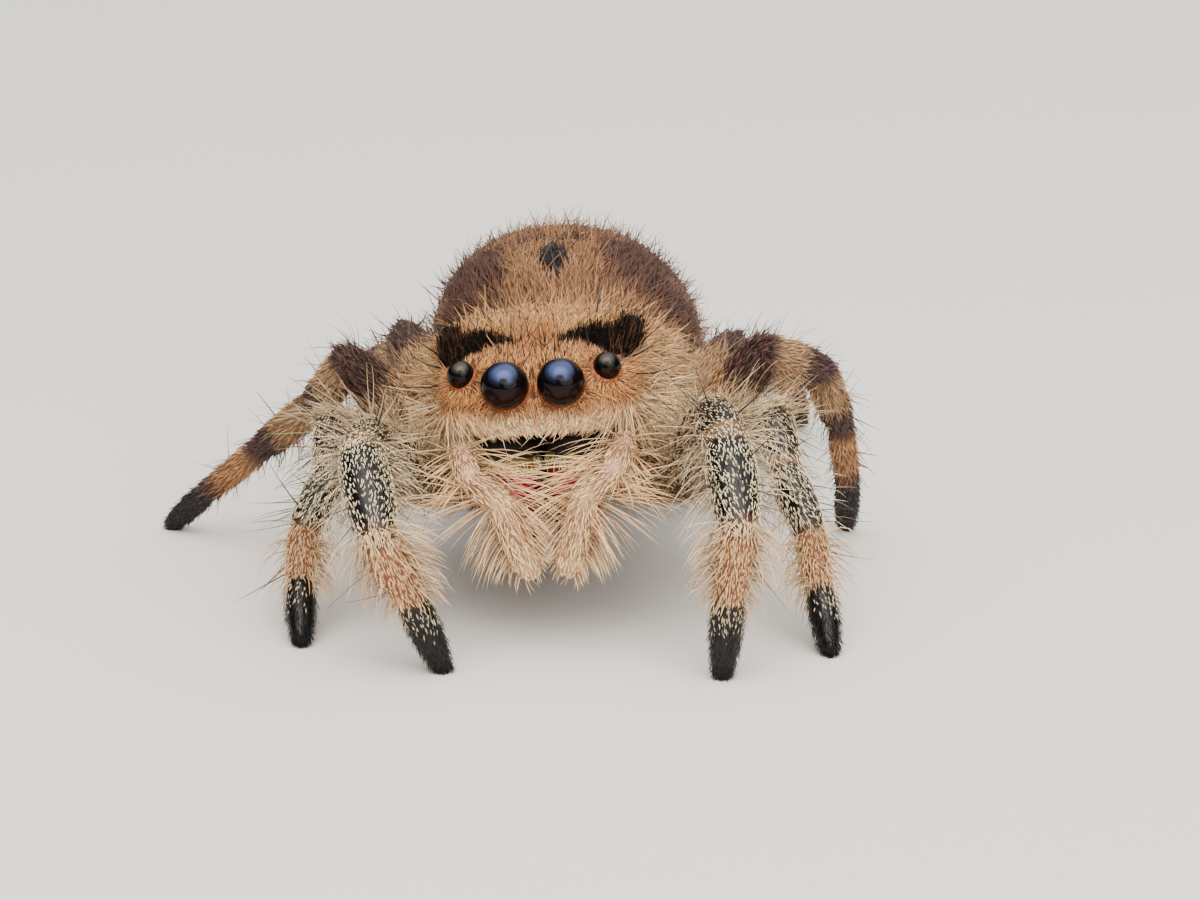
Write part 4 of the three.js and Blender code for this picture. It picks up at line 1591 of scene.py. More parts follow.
@dataclass
class Coat:
    """A piece of the coat: any number of hairs of several kinds in one mesh."""

    name: str
    finish: HairFinish
    slot: str
    seed: int

    def __post_init__(self) -> None:
        """Starts the piece empty, with random numbers of its own."""
        self.rng = np.random.default_rng(self.seed)
        self.meshes: list[Mesh] = []
        self.colours: list[Array] = []
        self.places: list[Array] = []

    def clear_of(self, roots: Roots, others: Sequence[Form]) -> Roots:
        """Drops roots that lie inside other forms, in an eye or under the floor."""
        keep = (roots.points[:, 2] > FLOOR_CLEARANCE) & (eye_gap(roots.local) > 0.0)
        for form in others:
            keep &= form.level(roots.points) > 0.99
        return roots.kept(keep)

    def scattered(self, form: Form, per_area: float, density: Density | None = None,
                  cells: tuple[int, int] = (40, 36), others: Sequence[Form] = ()) -> Roots:
        """Roots spread over a form by this piece's own random numbers, clear of the others."""
        return self.clear_of(scatter(form, per_area, self.rng, density, cells), others)

    def add(self, hair: Hair, roots: Roots, lie: Array, colours: Array, pull: Array | float = 0.0,
            length: Array | float = 1.0) -> None:
        """Grows one hair from each root.

        The heading leaves the skin at the hair's lift over the lie, turned sideways at random
        by its stray; the pull bends it back towards the skin, and along any extra pull.

        Args:
            hair: The kind of hair.
            roots: Where hairs grow.
            lie: The direction in which they lie, for each root.
            colours: Their colours, or one for all.
            pull: Extra bending vectors.
            length: Factor on the hair's length, for each root or for all.
        """
        count = len(roots.points)
        if count == 0:
            return
        rng, normal = self.rng, roots.normals
        flat = unit(lie - dot(lie, normal) * normal)
        beside = np.cross(normal, flat)
        stray = np.radians(hair.stray) * rng.standard_normal(count)[:, None]
        flat = np.cos(stray) * flat + np.sin(stray) * beside
        lift = np.radians(hair.lift * (1.0 + 0.25 * rng.standard_normal(count)))[:, None]
        heading = np.cos(lift) * flat + np.sin(lift) * normal
        bend = hair.curve * (flat - 0.6 * normal) * (1.0 + 0.4 * rng.standard_normal((count, 1)))
        bend = bend + 0.12 * rng.standard_normal((count, 3))
        if hair.lock:
            bend = bend + 2.0 * hair.lock / hair.length * lock_offsets(roots.points, 0.5 * hair.length)
        lengths = hair.length * (1.0 + hair.vary * rng.uniform(-1.0, 1.0, count)) * length
        root = roots.points - 0.02 * normal
        line, direction = hair.spine(root, heading, bend + pull, lengths)
        keep = np.all(eye_gap(unrolled(line[:, 1:].reshape(-1, 3))).reshape(count, -1) > 0.005, axis=1)
        line[..., 2] = np.maximum(line[..., 2], FLOOR_CLEARANCE)
        upright = np.abs(dot(heading, normal))
        reference = unit(normal * (1.0 - 0.8 * upright) + flat * upright)
        side = unit(np.cross(direction, reference[:, None]))
        ridge = np.cross(side, direction)
        s = np.arange(hair.rings) / hair.rings
        half = 0.5 * hair.width * hair.widths(s)[None, :, None] * (0.8 + 0.4 * rng.random((count, 1, 1)))
        body, side, ridge = line[:, :-1], half * side[:, :-1], 2.0 * hair.flat * half * ridge[:, :-1]
        rim = np.stack([body - side, body + side, body + ridge], axis=2)
        points = np.concatenate([rim.reshape(count, -1, 3), line[:, -1:]], axis=1)
        points[..., 2] = np.maximum(points[..., 2], 0.0)
        share = np.concatenate([np.repeat(s, 3), [1.0]])
        # Darker at the root, lighter at the tip: painted shade in the depth of the coat and painted light on
        # the tips.
        painted_light_factor = mix(hair.root_painted_shade, hair.tip_painted_light, share)[None, :, None]
        fleck = np.exp(hair.speckle * rng.standard_normal((count, 1, 1)))
        tints = np.clip(np.broadcast_to(colours, root.shape)[:, None] * painted_light_factor * fleck, 0.0, 1.0)
        across = np.concatenate([np.tile([-0.5, 0.5, 0.0], hair.rings), [0.0]])
        offset = PATCH * stacked(across, share - 0.5)
        places = roots.form.tile.place(roots.s, roots.turn)[:, None] + offset
        faces = hair.faces() + points.shape[1] * np.arange(int(keep.sum()))[:, None, None]
        self.meshes.append((points[keep].reshape(-1, 3), faces.reshape(-1, 3)))
        self.colours.append(tints[keep].reshape(-1, 3))
        self.places.append(places[keep].reshape(-1, 2))

    def build(self, effects: Effects) -> None:
        """Stores the piece with its markings and its map, and dresses it."""
        points, faces = joined(self.meshes)
        make_piece(self.name, points, faces, np.concatenate(self.colours), np.zeros(len(points)),
                   self.finish.material(effects), self.slot, places=np.concatenate(self.places))


# ---- the coats


@dataclass
class HeadCoat:
    """The coat of the head shield: face, crown, cheeks, brows and bristles."""

    skeleton: Skeleton

    @staticmethod
    def lie(points: Array) -> Array:
        """The lie of the head's coat, in the head's frame.

        Backwards and a little outwards on the crown, outwards and down on the cheeks, down and
        towards the middle on the clypeus, and away from the nearest front eye close to it.
        """
        x, y, z = points.T
        cheek = stacked(0.7 * np.sign(x), 0.8, -0.45)
        crown = stacked(0.25 * x, 1.0, 0.0)
        forehead = stacked(0.25 * x, 0.3, 1.0)
        lip = stacked(-0.9 * np.clip(x / 0.3, -1.0, 1.0), -0.2, -1.0)
        low = (1.0 - ease(0.6, 1.1, y)) * ease(4.35, 4.1, z) * ease(2.1, 1.4, np.abs(x))
        flow = layered(cheek, (crown, ease(4.2, 4.9, z)),
                       (forehead, (1.0 - ease(0.5, 1.0, y)) * ease(4.4, 4.7, z)), (lip, low))
        for eye in FRONT_EYES:
            for which in Side:
                away = points - eye.centre(which)
                gap = np.linalg.norm(away, axis=-1) - eye.radius
                flow = layered(flow, (unit(away), 0.9 * (1.0 - ease(0.08, 0.4, gap))))
        between = ease(0.2, 0.1, np.abs(x)) * (1.0 - ease(0.9, 1.2, y)) * ease(4.0, 4.2, z)
        upward = stacked(0.6 * x, -0.1, np.where(z > 4.4, 1.0, -1.0))
        return rolled_direction(layered(flow, (upward, between)))

    def roots(self, coat: Coat, per_area: float, density: Density) -> Roots:
        """Roots on the head shield, clear of legs, palps and eyes."""
        bones = self.skeleton
        others = bones.inner_limbs(2) + [limbs[0] for limbs in bones.palps.values()]
        return coat.scattered(bones.carapace, per_area, density, (120, 150), others)

    @staticmethod
    def front_share(roots: Roots) -> Array:
        """1 on the face and 0 behind it."""
        return 1.0 - ease(1.3, 2.0, roots.local[:, 1])

    @staticmethod
    def arch(roots: Roots) -> Array:
        """Share of the length of the clypeus hairs: their lower edge is arched over the mouth."""
        return mix(0.55, 1.0, ease(0.1, 0.9, np.abs(roots.local[:, 0])))

    @staticmethod
    def upper_share(roots: Roots) -> Array:
        """1 above the hem and 0 underneath."""
        return ease(-0.75, -0.35, roots.normals[:, 2])

    def grow(self, coat: Coat, hair: Hair, roots: Roots, colour: Array | None = None,
             length: Array | float = 1.0) -> None:
        """Grows hairs on the head along its own lie, of one colour or in its markings off the brows."""
        if colour is None:
            flow = self.lie(roots.local)
            flow = unit(flow - dot(flow, roots.normals) * roots.normals)
            cover = HeadMarkings.brow(unrolled(roots.points + 0.75 * hair.length * flow))
            keep = np.maximum(cover, HeadMarkings.brow(roots.local)) < 0.35
            roots, length = roots.kept(keep), np.broadcast_to(length, keep.shape)[keep]
            colour = HeadMarkings.coat(roots.local)
        coat.add(hair, roots, self.lie(roots.local), colour, length=length)

    def face(self) -> Coat:
        """Fine hairs on the face: shortest round the eyes, thick and cream on the clypeus."""
        coat = Coat("coat_face", HairFinish("face_hair"), "head_coat", 11)

        def density(roots: Roots) -> Array:
            """Over the face, thin on the brows and bare close to the eyes."""
            gap = eye_gap(roots.local, FRONT_EYES)
            rim = ease(-0.01, 0.005, gap) * (1.0 + 0.8 * ease(0.3, 0.2, gap)) / 1.8
            return self.front_share(roots) * ease(3.7, 3.78, roots.local[:, 2]) * rim

        roots = self.roots(coat, 1150.0, density)
        gap = eye_gap(roots.local, FRONT_EYES)
        lip = HeadMarkings.lip(roots.local) > 0.5
        near = (gap < 0.25) & ~lip
        fine = FineHair(0.16, 0.018, 24, 0.2, 12, 0.35, 3, speckle=0.4, root_painted_shade=0.36)
        self.grow(coat, fine, roots.kept(near))
        rim = roots.kept(gap < 0.07)
        rim_hair = FineHair(0.06, 0.016, 45, 0.2, 30, 0.4, 2, speckle=0.3, root_painted_shade=0.6)
        coat.add(rim_hair, rim, -self.lie(rim.local), HeadMarkings.coat(rim.local))
        middle = FineHair(0.26, 0.021, 20, 0.3, 14, 0.35, 3, speckle=0.35, root_painted_shade=0.32)
        self.grow(coat, middle, roots.kept(~near & ~lip))
        lip_hair = Hair(0.25, 0.021, 24, 0.35, 16, 0.35, 3, speckle=0.35, root_painted_shade=0.52, tip_painted_light=1.35)
        self.grow(coat, lip_hair, roots.kept(lip), length=self.arch(roots.kept(lip)))
        return coat

    def crown(self) -> Coat:
        """Longer scale hairs behind the face, over crown, cheeks and thorax."""
        coat = Coat("coat_carapace", HairFinish("carapace_hair"), "head_coat", 12)

        def density(roots: Roots) -> Array:
            """Behind the face and above the hem."""
            return (1.0 - self.front_share(roots)) * self.upper_share(roots)

        scale = Hair(0.38, 0.036, 15, 0.4, 16, rings=3, lock=0.35)
        self.grow(coat, scale, self.roots(coat, 260.0, density))
        return coat

    def fluff(self) -> Coat:
        """Soft longer hairs that break the outline of cheeks, crown and clypeus."""
        coat = Coat("fluff_head", HairFinish("head_fluff"), "head_coat", 13)

        def sides(roots: Roots) -> Array:
            """Most on the cheeks, some on the crown, none on the face."""
            _, y, z = roots.local.T
            beside = ease(4.75, 4.3, z) * ease(0.9, 1.5, y)
            return (0.2 + 0.8 * beside) * ease(0.9, 1.4, y) * self.upper_share(roots)

        cheek = FineHair(0.7, 0.024, 32, 0.6, 14, 0.4, 4, root_painted_shade=0.6, tip_painted_light=1.2, lock=0.4)
        self.grow(coat, cheek, self.roots(coat, 95.0, sides))

        def lip(roots: Roots) -> Array:
            """The lower edge of the clypeus and the corners below the eyes."""
            _, y, z = roots.local.T
            return ease(3.98, 3.88, z) * ease(3.68, 3.76, z) * (1.0 - ease(1.2, 1.8, y))

        roots = self.roots(coat, 260.0, lip)
        fringe = FineHair(0.25, 0.022, 22, 0.3, 22, 0.4, 4, root_painted_shade=0.6)
        self.grow(coat, fringe, roots, length=self.arch(roots))
        veil = FineHair(0.5, 0.022, 34, 0.3, 50, 0.4, 5, root_painted_shade=0.6, tip_painted_light=1.2)
        self.grow(coat, veil, self.roots(coat, 26.0, lip), Palette.cream)

        def corner(roots: Roots) -> Array:
            """The lower corners of the face, beside the jaws."""
            x, y, z = roots.local.T
            return ease(1.15, 1.5, np.abs(x)) * ease(4.15, 3.9, z) * ease(2.2, 1.6, y) * ease(0.0, 0.3, y)

        long = FineHair(1.0, 0.026, 36, 0.3, 16, 0.35, 5, lock=0.2, root_painted_shade=0.6)
        self.grow(coat, long, self.roots(coat, 190.0, corner), Palette.cream)
        return coat

    def brows(self) -> Coat:
        """The two black brow tufts: low and fine towards the middle, tall and shaggy outside."""
        finish = HairFinish("brow_hair", roughness=0.75, specular=0.06, sheen=0.0)
        coat = Coat("tuft_brows", finish, "head_coat", 14)
        roots = self.roots(coat, 900.0, lambda found: HeadMarkings.brow(found.local))
        across = np.abs(roots.local[:, 0])
        outer = ease(1.0, 1.5, across)
        brown = (coat.rng.random(len(outer)) < 0.22 * outer).astype(float)
        colours = layered(Palette.brow, (Palette.umber, brown))
        tuft = Bristle(0.16, 0.019, 44, 0.4, 22, 0.35, 3, lock=0.2)
        length = 1.0 + 0.6 * ease(0.5, 0.95, across) + 0.55 * outer
        coat.add(tuft, roots, rolled_direction(vec(0, 0.8, 0.6)), colours, vec(0, 0, 0.7) * outer[:, None],
                 length)
        return coat

    def bristles(self) -> Coat:
        """Dark bristles: fine curved ones over the eyes, a few long ones at the corners."""
        finish = HairFinish("head_bristle", roughness=0.35, specular=0.5)
        coat = Coat("bristles_head", finish, "head_coat", 15)

        def forehead(roots: Roots) -> Array:
            """The strip between the front eyes and the brows."""
            x, y, z = roots.local.T
            return ease(1.3, 1.0, np.abs(x)) * ease(4.7, 4.9, z) * ease(1.35, 1.0, y)

        fine = Bristle(0.5, 0.02, 58, -0.5, 35, 0.55, 5)
        self.grow(coat, fine, self.roots(coat, 24.0, forehead), Palette.bristle)

        def lash(roots: Roots) -> Array:
            """Close round the upper rims of the front eyes, and thinly between and below them."""
            gap = eye_gap(roots.local, FRONT_EYES)
            return (gap < 0.2) * (gap > 0.03) * mix(0.25, 1.0, ease(4.5, 4.75, roots.local[:, 2]))

        short = Bristle(0.16, 0.015, 42, 0.3, 40, 0.5, 4)
        self.grow(coat, short, self.roots(coat, 150.0, lash), Palette.bristle)

        def behind(roots: Roots) -> Array:
            """The top of the head behind the brows."""
            return ease(1.4, 2.0, roots.local[:, 1]) * ease(0.2, 0.6, roots.normals[:, 2])

        sparse = Bristle(0.6, 0.016, 48, -0.2, 25, 0.4, 5)
        self.grow(coat, sparse, self.roots(coat, 4.0, behind), Palette.bristle * 1.5)
        self.corner_bristles(coat)
        return coat

    def corner_bristles(self, coat: Coat) -> None:
        """The long bristles at the corners of the head, mirrored left and right.

        Each row: the root in the head's frame, the direction, the length and the bend.
        """
        rows = (
            ((1.62, 1.4, 5.15), (0.5, -0.2, 1.0), 0.72, (0.2, 0.3, 0.1)),
            ((1.25, 1.45, 5.15), (0.25, -0.1, 1.0), 0.55, (-0.3, 0.3, 0.2)),
            ((1.78, 0.9, 4.45), (1.0, -0.45, 0.0), 0.95, (0.1, 0.3, 0.5)),
            ((1.72, 1.0, 4.75), (1.0, -0.3, 0.35), 0.8, (0.1, 0.2, 0.6)),
            ((1.85, 1.75, 4.8), (1.0, -0.1, 0.8), 0.7, (0.2, 0.3, 0.0)),
            ((0.62, 0.75, 5.0), (0.1, -0.3, 1.0), 0.7, (0.3, 0.5, 0.1)),
            ((0.2, 0.9, 5.05), (-0.25, -0.4, 1.0), 0.75, (-0.5, 0.5, 0.0)),
            ((1.85, 2.4, 4.85), (0.8, 0.3, 1.0), 0.75, (0.1, 0.5, 0.1)),
            ((1.0, 2.4, 5.2), (0.3, 0.3, 1.0), 0.65, (0.0, 0.6, -0.1)),
        )
        spine = Bristle(1.0, 0.03, 89.0, 0.0, 0.0, 0.15, 6, outline=Outline.SPINE, speckle=0.05)
        body = self.skeleton.carapace
        places, directions, lengths, bends = (np.array(column) for column in zip(*rows))
        for side in Side:
            root = rolled(places * side.mirror)
            normal = unit(rolled_direction(directions * side.mirror))
            s = (places[:, 1] - body.front) / (body.rear - body.front)
            turn = np.arctan2(root[:, 2] - 4.0, root[:, 0])
            along = unit(np.cross(normal, vec(0, 0.3, 1)))
            roots = Roots(body, s, turn, root, normal, along)
            coat.add(spine, roots, along, Palette.bristle, rolled_direction(bends * side.mirror), lengths)

    def build(self, effects: Effects) -> None:
        """Makes every piece of the head's coat."""
        for coat in (self.face(), self.crown(), self.fluff(), self.brows(), self.bristles()):
            coat.build(effects)


@dataclass
class AbdomenCoat:
    """The coat of the abdomen."""

    skeleton: Skeleton

    def build(self, effects: Effects) -> None:
        """Flat scale hairs all over, with softer erect hairs that blur the outline."""
        bones = self.skeleton
        markings = AbdomenMarkings(bones.abdomen)
        others = bones.inner_limbs(3, lambda leg: not leg.front)
        coat = Coat("coat_abdomen", HairFinish("abdomen_hair"), "abdomen_coat", 21)
        fluff = Coat("fluff_abdomen", HairFinish("abdomen_fluff"), "abdomen_coat", 22)
        scale = Hair(0.4, 0.038, 13, 0.4, 16, lock=0.3)
        soft = FineHair(0.7, 0.02, 34, 0.6, 16, 0.45, 4, lock=0.4)
        for piece, hair, per_area in ((coat, scale, 205.0), (fluff, soft, 40.0)):
            roots = piece.scattered(bones.abdomen, per_area, None, (90, 80), others)
            piece.add(hair, roots, vec(0, 1, 0), markings.coat(roots.points))
        for tube in bones.spinnerets:
            ends = fluff.scattered(tube, 160.0, lambda found: ease(0.2, 0.5, found.s))
            fluff.add(FineHair(0.24, 0.022, lift=25.0), ends, ends.along, Palette.band)
        coat.build(effects)
        fluff.build(effects)


@dataclass
class UndersideCoat:
    """Thin hair on the breast, the stalk and the mouth plates."""

    skeleton: Skeleton

    def build(self, effects: Effects) -> None:
        """Short grey-brown hairs that leave the chitin showing between them."""
        bones = self.skeleton
        coat = Coat("coat_underside", HairFinish("underside_hair"), "underside", 31)
        hair = FineHair(0.3, 0.026, lift=28.0, stray=20.0)
        others = [bones.carapace, bones.abdomen, *bones.inner_limbs(1)]
        for form in (bones.sternum, bones.pedicel, *bones.endites):
            roots = coat.scattered(form, 110.0, others=others)
            coat.add(hair, roots, roots.along, Palette.belly * 1.2)
        coat.build(effects)


@dataclass(frozen=True)
class SegmentCoat:
    """How thickly one segment of a leg is clothed, and how its fringe sags and shortens."""

    per_area: float
    hair: Hair
    fringe_per_area: float = 0.0
    fringe: Hair | None = None
    sag: float = 0.0
    taper: float = 0.0


THIN = {"rings": 5, "vary": 0.4}
LOCKED = {"stray": 14, "lock": 0.2}
CRISP = {"stray": 8, "speckle": 0.1, "root_painted_shade": 0.75, "tip_painted_light": 1.15}
FRONT_COATS = (
    SegmentCoat(130, Hair(0.32, 0.034, 22, stray=16), 30, FineHair(0.6, 0.022, 50, 0.4, 20, **THIN)),
    SegmentCoat(180, Hair(0.32, 0.032, 20, **LOCKED), 90, FineHair(0.85, 0.022, 46, 0.5, 20, **THIN), 0.2),
    SegmentCoat(260, Hair(0.15, 0.023, 16, 0.15, **CRISP), 66,
                FineHair(0.85, 0.02, 62, 0.3, 22, **THIN), 0.2),
    SegmentCoat(270, Hair(0.14, 0.023, 12, 0.15, **CRISP), 54,
                FineHair(0.85, 0.02, 66, 0.3, 20, **THIN), 0.25),
    SegmentCoat(330, Hair(0.15, 0.021, 18, 0.3, **CRISP), 120,
                FineHair(0.75, 0.032, 82, 0.8, 10, 0.25, 5, root_painted_shade=0.5, tip_painted_light=1.15), 0.4, 0.35),
    SegmentCoat(150, Hair(0.13, 0.03, 14, stray=10)),
)
REAR_COATS = (
    FRONT_COATS[0],
    SegmentCoat(190, Hair(0.32, 0.033, 20, **LOCKED), 45, FineHair(0.65, 0.021, 48, 0.5, 20, **THIN)),
    SegmentCoat(190, Hair(0.26, 0.033, 18, **LOCKED), 50, FineHair(0.6, 0.02, 55, 0.4, 22, **THIN), 0.2),
    SegmentCoat(190, Hair(0.27, 0.033, 18, **LOCKED), 50, FineHair(0.65, 0.02, 55, 0.4, 20, **THIN), 0.3),
    SegmentCoat(190, Hair(0.25, 0.032, 18, stray=14), 50,
                FineHair(0.5, 0.02, 50, 0.5, 18, **THIN), 0.5, 0.4),
    SegmentCoat(170, Hair(0.16, 0.03, 20, stray=14)),
)
SPINE_LENGTHS = {1: 1.15, 2: 1.0, 3: 0.65, 4: 0.65}


@dataclass
class LegCoat:
    """The coat of one leg: scale hairs, a long fringe, spines and the black foot."""

    skeleton: Skeleton
    leg: Leg
    herringbone: float = 0.5
    front_spines: tuple[int, ...] = (0, 4, 5, 8, 3, 0)
    rear_spines: tuple[int, ...] = (0, 3, 3, 6, 4, 0)

    def neighbours(self, order: int) -> list[Form]:
        """Forms that may swallow roots of the segment: body, jaws and the leg's own next limbs."""
        bones = self.skeleton
        limbs = bones.limbs[self.leg]
        near = [limbs[i] for i in (order - 1, order + 1) if 0 <= i < len(limbs)]
        if order < 3:
            near += [bones.carapace, bones.sternum, bones.abdomen]
            near += bones.inner_limbs(2, lambda leg: leg is not self.leg and leg.side is self.leg.side)
        return near

    def lie(self, limb: Limb, roots: Roots) -> Array:
        """Down the limb, drawn towards the ridge of its back from both sides."""
        share = self.herringbone if limb.order in (2, 3, 5) else 0.15
        return roots.along - share * (np.cos(roots.turn)[:, None] * limb.beside)

    def scales(self, coat: Coat, limb: Limb, dress: SegmentCoat) -> None:
        """Scale hairs; on dark segments they leave the ridge of the back nearly bare."""
        def density(roots: Roots) -> Array:
            """Full, but thinner on the ridge of the tibia and only on top of the tarsus."""
            if self.leg.front and limb.order == 3:
                ridge = bell((roots.turn - math.pi / 2.0) / 0.34)
                return 1.0 - 0.7 * ridge * ease(0.25, 0.4, roots.s) * ease(0.9, 0.75, roots.s)
            if self.leg.front and limb.order == 2:
                return mix(0.7, 1.0, ease(0.62, 0.72, roots.s))
            if self.leg.front and limb.order == 5:
                return ease(0.62, 0.3, roots.s) * ease(-0.3, 0.3, np.sin(roots.turn))
            return np.ones_like(roots.s)

        roots = coat.scattered(limb, dress.per_area, density, others=self.neighbours(limb.order))
        colours = LimbMarkings.leg_coat[self.leg.front].at(limb.place(roots.points))
        coat.add(dress.hair, roots, self.lie(limb, roots), colours)

    @staticmethod
    def shortening(roots: Roots) -> Array:
        """Share of their length that long hairs keep: those that face forwards are shorter."""
        return 1.0 - 0.45 * ease(0.3, 0.95, -roots.normals[:, 1])

    def fringe(self, coat: Coat, limb: Limb, dress: SegmentCoat) -> None:
        """Long hairs that stand out from both sides and from underneath."""
        if dress.fringe is None:
            return

        def sides(roots: Roots) -> Array:
            """Most at the sides, few on the ridge."""
            return 1.0 - 0.9 * bell((roots.turn - math.pi / 2.0) / 0.95)

        roots = coat.scattered(limb, dress.fringe_per_area, sides, (30, 30), self.neighbours(limb.order))
        colours = LimbMarkings.leg_coat[self.leg.front].at(limb.place(roots.points))
        if self.leg.front and limb.order in (2, 3):
            dark = 0.75 * (coat.rng.random(len(colours)) < 0.4)
            colours = layered(colours, (Palette.umber * 1.6, dark))
        pull = dress.sag * roots.along + vec(0, 0, -0.15)
        length = (1.0 - dress.taper * ease(0.45, 1.0, roots.s)) * self.shortening(roots)
        coat.add(dress.fringe, roots, roots.along, colours, pull, length)

    def foot(self, coat: Coat, limb: Limb) -> None:
        """Fine black hair round the tarsus and a dense dark brush at its end."""
        dark = Palette.black if self.leg.front else tone(28, 21, 20)
        roots = coat.scattered(limb, 330.0, lambda found: 0.35 + 0.65 * ease(0.1, 0.6, found.s),
                               others=self.neighbours(limb.order))
        fine = FineHair(0.18, 0.017, 32, 0.4, 16, root_painted_shade=0.8, tip_painted_light=1.2)
        coat.add(fine, roots, roots.along, dark)
        brush = coat.scattered(limb, 620.0, lambda found: ease(0.78, 0.9, found.s), (60, 36))
        # The tuft's tips are lightened far past its colour: a painted grey sheen on the brush.
        tuft = FineHair(0.14, 0.02, 50, 0.4, 20, root_painted_shade=0.8, tip_painted_light=1.8)
        low = mix(0.4, 1.0, ease(0.0, 0.2, brush.points[:, 2]))
        coat.add(tuft, brush, brush.along, dark * 1.3, length=low)

    def spine_roots(self, coat: Coat, limb: Limb, count: int) -> Roots:
        """Places of the long dark spines: in pairs down both sides of the back."""
        step = np.arange(count)
        s = 0.3 + 0.5 * (step // 2 + 0.5) / max(1, (count + 1) // 2) + 0.04 * coat.rng.standard_normal(count)
        turn = math.pi / 2.0 + np.where(step % 2 == 0, 1.0, -1.0) * coat.rng.uniform(0.5, 1.1, count)
        return coat.clear_of(Roots.on(limb, np.clip(s, 0.1, 0.9), turn), self.neighbours(limb.order))

    def build(self, scales: Coat, fringe: Coat, spines: Coat) -> None:
        """Adds this leg's hairs to the three coats that it shares with others.

        Args:
            scales: Takes the scale hairs and the feet.
            fringe: Takes the long fringe.
            spines: Takes the dark spines.
        """
        front, limbs = self.leg.front, self.skeleton.limbs[self.leg]
        dresses = FRONT_COATS if front else REAR_COATS
        counts = self.front_spines if front else self.rear_spines
        spine = Bristle(SPINE_LENGTHS[self.leg.pair], 0.03 if front else 0.024, 72, -0.1, 16, 0.2, 6,
                        outline=Outline.SPINE)
        for limb, dress, count in zip(limbs, dresses, counts):
            self.scales(scales, limb, dress)
            self.fringe(fringe, limb, dress)
            if count:
                roots = self.spine_roots(spines, limb, count)
                spines.add(spine, roots, roots.along, Palette.bristle, length=self.shortening(roots))
        self.foot(scales, limbs[5])


@dataclass(frozen=True)
class PalpDress:
    """How one segment of a palp is clothed: short hair, and longer hair at both sides."""

    per_area: float
    fan_per_area: float
    outer: float
    inner: float
    lift: float
    spread: float
    sag: float
    rise: float


PALP_DRESSES = (
    PalpDress(190, 50, 0.6, 0.4, 50.0, 0.6, 0.3, 0.0),
    PalpDress(230, 200, 0.75, 1.25, 58.0, 1.0, 0.15, 0.8),
    PalpDress(250, 210, 1.3, 1.3, 50.0, 4.0, 0.1, 0.35),
    PalpDress(300, 210, 1.0, 0.75, 68.0, 0.8, 0.7, 0.0),
)


@dataclass
class PalpCoat:
    """The coat of one palp: short cream hair, and long bristles that fan out to both sides."""

    skeleton: Skeleton
    side: Side

    def fans(self, fan: Coat, limb: Limb, dress: PalpDress, near: Sequence[Form]) -> None:
        """Long curved hairs: the outer ones hang down and out, the inner ones cross the jaws.

        Args:
            fan: The piece that takes them.
            limb: The segment that bears them.
            dress: How it is clothed.
            near: Forms that may swallow roots.
        """
        def sides(roots: Roots) -> Array:
            """Most at the two sides, few in front and behind."""
            return 0.04 + 0.96 * bell(np.sin(roots.turn) / 0.45)

        roots = fan.scattered(limb, dress.fan_per_area, sides, (30, 30), near)
        outward, upward = vec(self.side.value, 0, 0), vec(0, 0, 1)
        outside = roots.normals @ outward > 0.0
        tip = limb.order == 3
        for mask, lift, reach, lean, fall in (
            (outside, dress.lift, dress.outer, dress.spread * outward, 0.3),
            (~outside, 50.0 if tip else 38.0, dress.inner, dress.rise * (upward - 0.8 * outward), 0.45),
        ):
            group = roots.kept(mask)
            long = FineHair(reach, 0.03, lift, 0.1, 7, 0.15, 6, speckle=0.12, tip_painted_light=1.25)
            length = mix(1.0, 0.35, ease(0.4, 0.9, group.s)) if tip else 1.0
            colours = LimbMarkings.palp_coat(limb.place(group.points))
            fan.add(long, group, group.along + lean, colours, dress.sag * group.along - fall * upward, length)

    def build(self, effects: Effects) -> None:
        """Makes the palp's two pieces."""
        bones, word = self.skeleton, self.side.word
        seed = 40 + self.side.value
        coat = Coat(f"coat_palp_{word}", HairFinish("palp_hair"), "palp_coat", seed)
        fan = Coat(f"fan_palp_{word}", HairFinish("palp_fan"), "palp_coat", seed + 5)
        limbs = bones.palps[self.side]
        hair = Hair(0.2, 0.022, 16, 0.3, 12, 0.3, 3, speckle=0.25, root_painted_shade=0.5, tip_painted_light=1.25)
        for limb, dress in zip(limbs, PALP_DRESSES):
            near = [limbs[i] for i in (limb.order - 1, limb.order + 1) if 0 <= i < len(limbs)]
            near.append(bones.jaws[self.side].base())
            roots = coat.scattered(limb, dress.per_area, others=near)
            colours = LimbMarkings.palp_coat(limb.place(roots.points))
            length = mix(1.0, 0.6, ease(0.7, 0.9, roots.s)) if limb.order == 3 else 1.0
            coat.add(hair, roots, roots.along, colours, length=length)
            self.fans(fan, limb, dress, near)
        coat.build(effects)
        fan.build(effects)


@dataclass
class JawCoat:
    """A few hairs on the jaws: yellow-green at the top, cream lower down."""

    skeleton: Skeleton

    @staticmethod
    def ahead(roots: Roots) -> Array:
        """1 on the front of a jaw and 0 behind."""
        return ease(-0.2, 0.3, np.sin(roots.turn))

    def build(self, effects: Effects) -> None:
        """Sparse hairs down the front of both jaws."""
        coat = Coat("coat_jaws", HairFinish("jaw_hair"), "chelicera", 51)
        long = FineHair(0.4, 0.02, 30, 0.5, 20, rings=4)
        short = Hair(0.2, 0.024, 35, 0.5, 20, rings=3)
        for jaw in self.skeleton.jaws.values():
            lower, upper = (coat.scattered(jaw.base(), per_area, self.ahead) for per_area in (60.0, 150.0))
            height = upper.local[:, 2]
            upper = upper.kept((height > 3.04) & (height < 3.24))
            lower = lower.kept(lower.local[:, 2] < 2.6)
            coat.add(short, upper, upper.along, tone(220, 206, 150))
            coat.add(long, lower, lower.along, Palette.cream * 0.8)
        coat.build(effects)


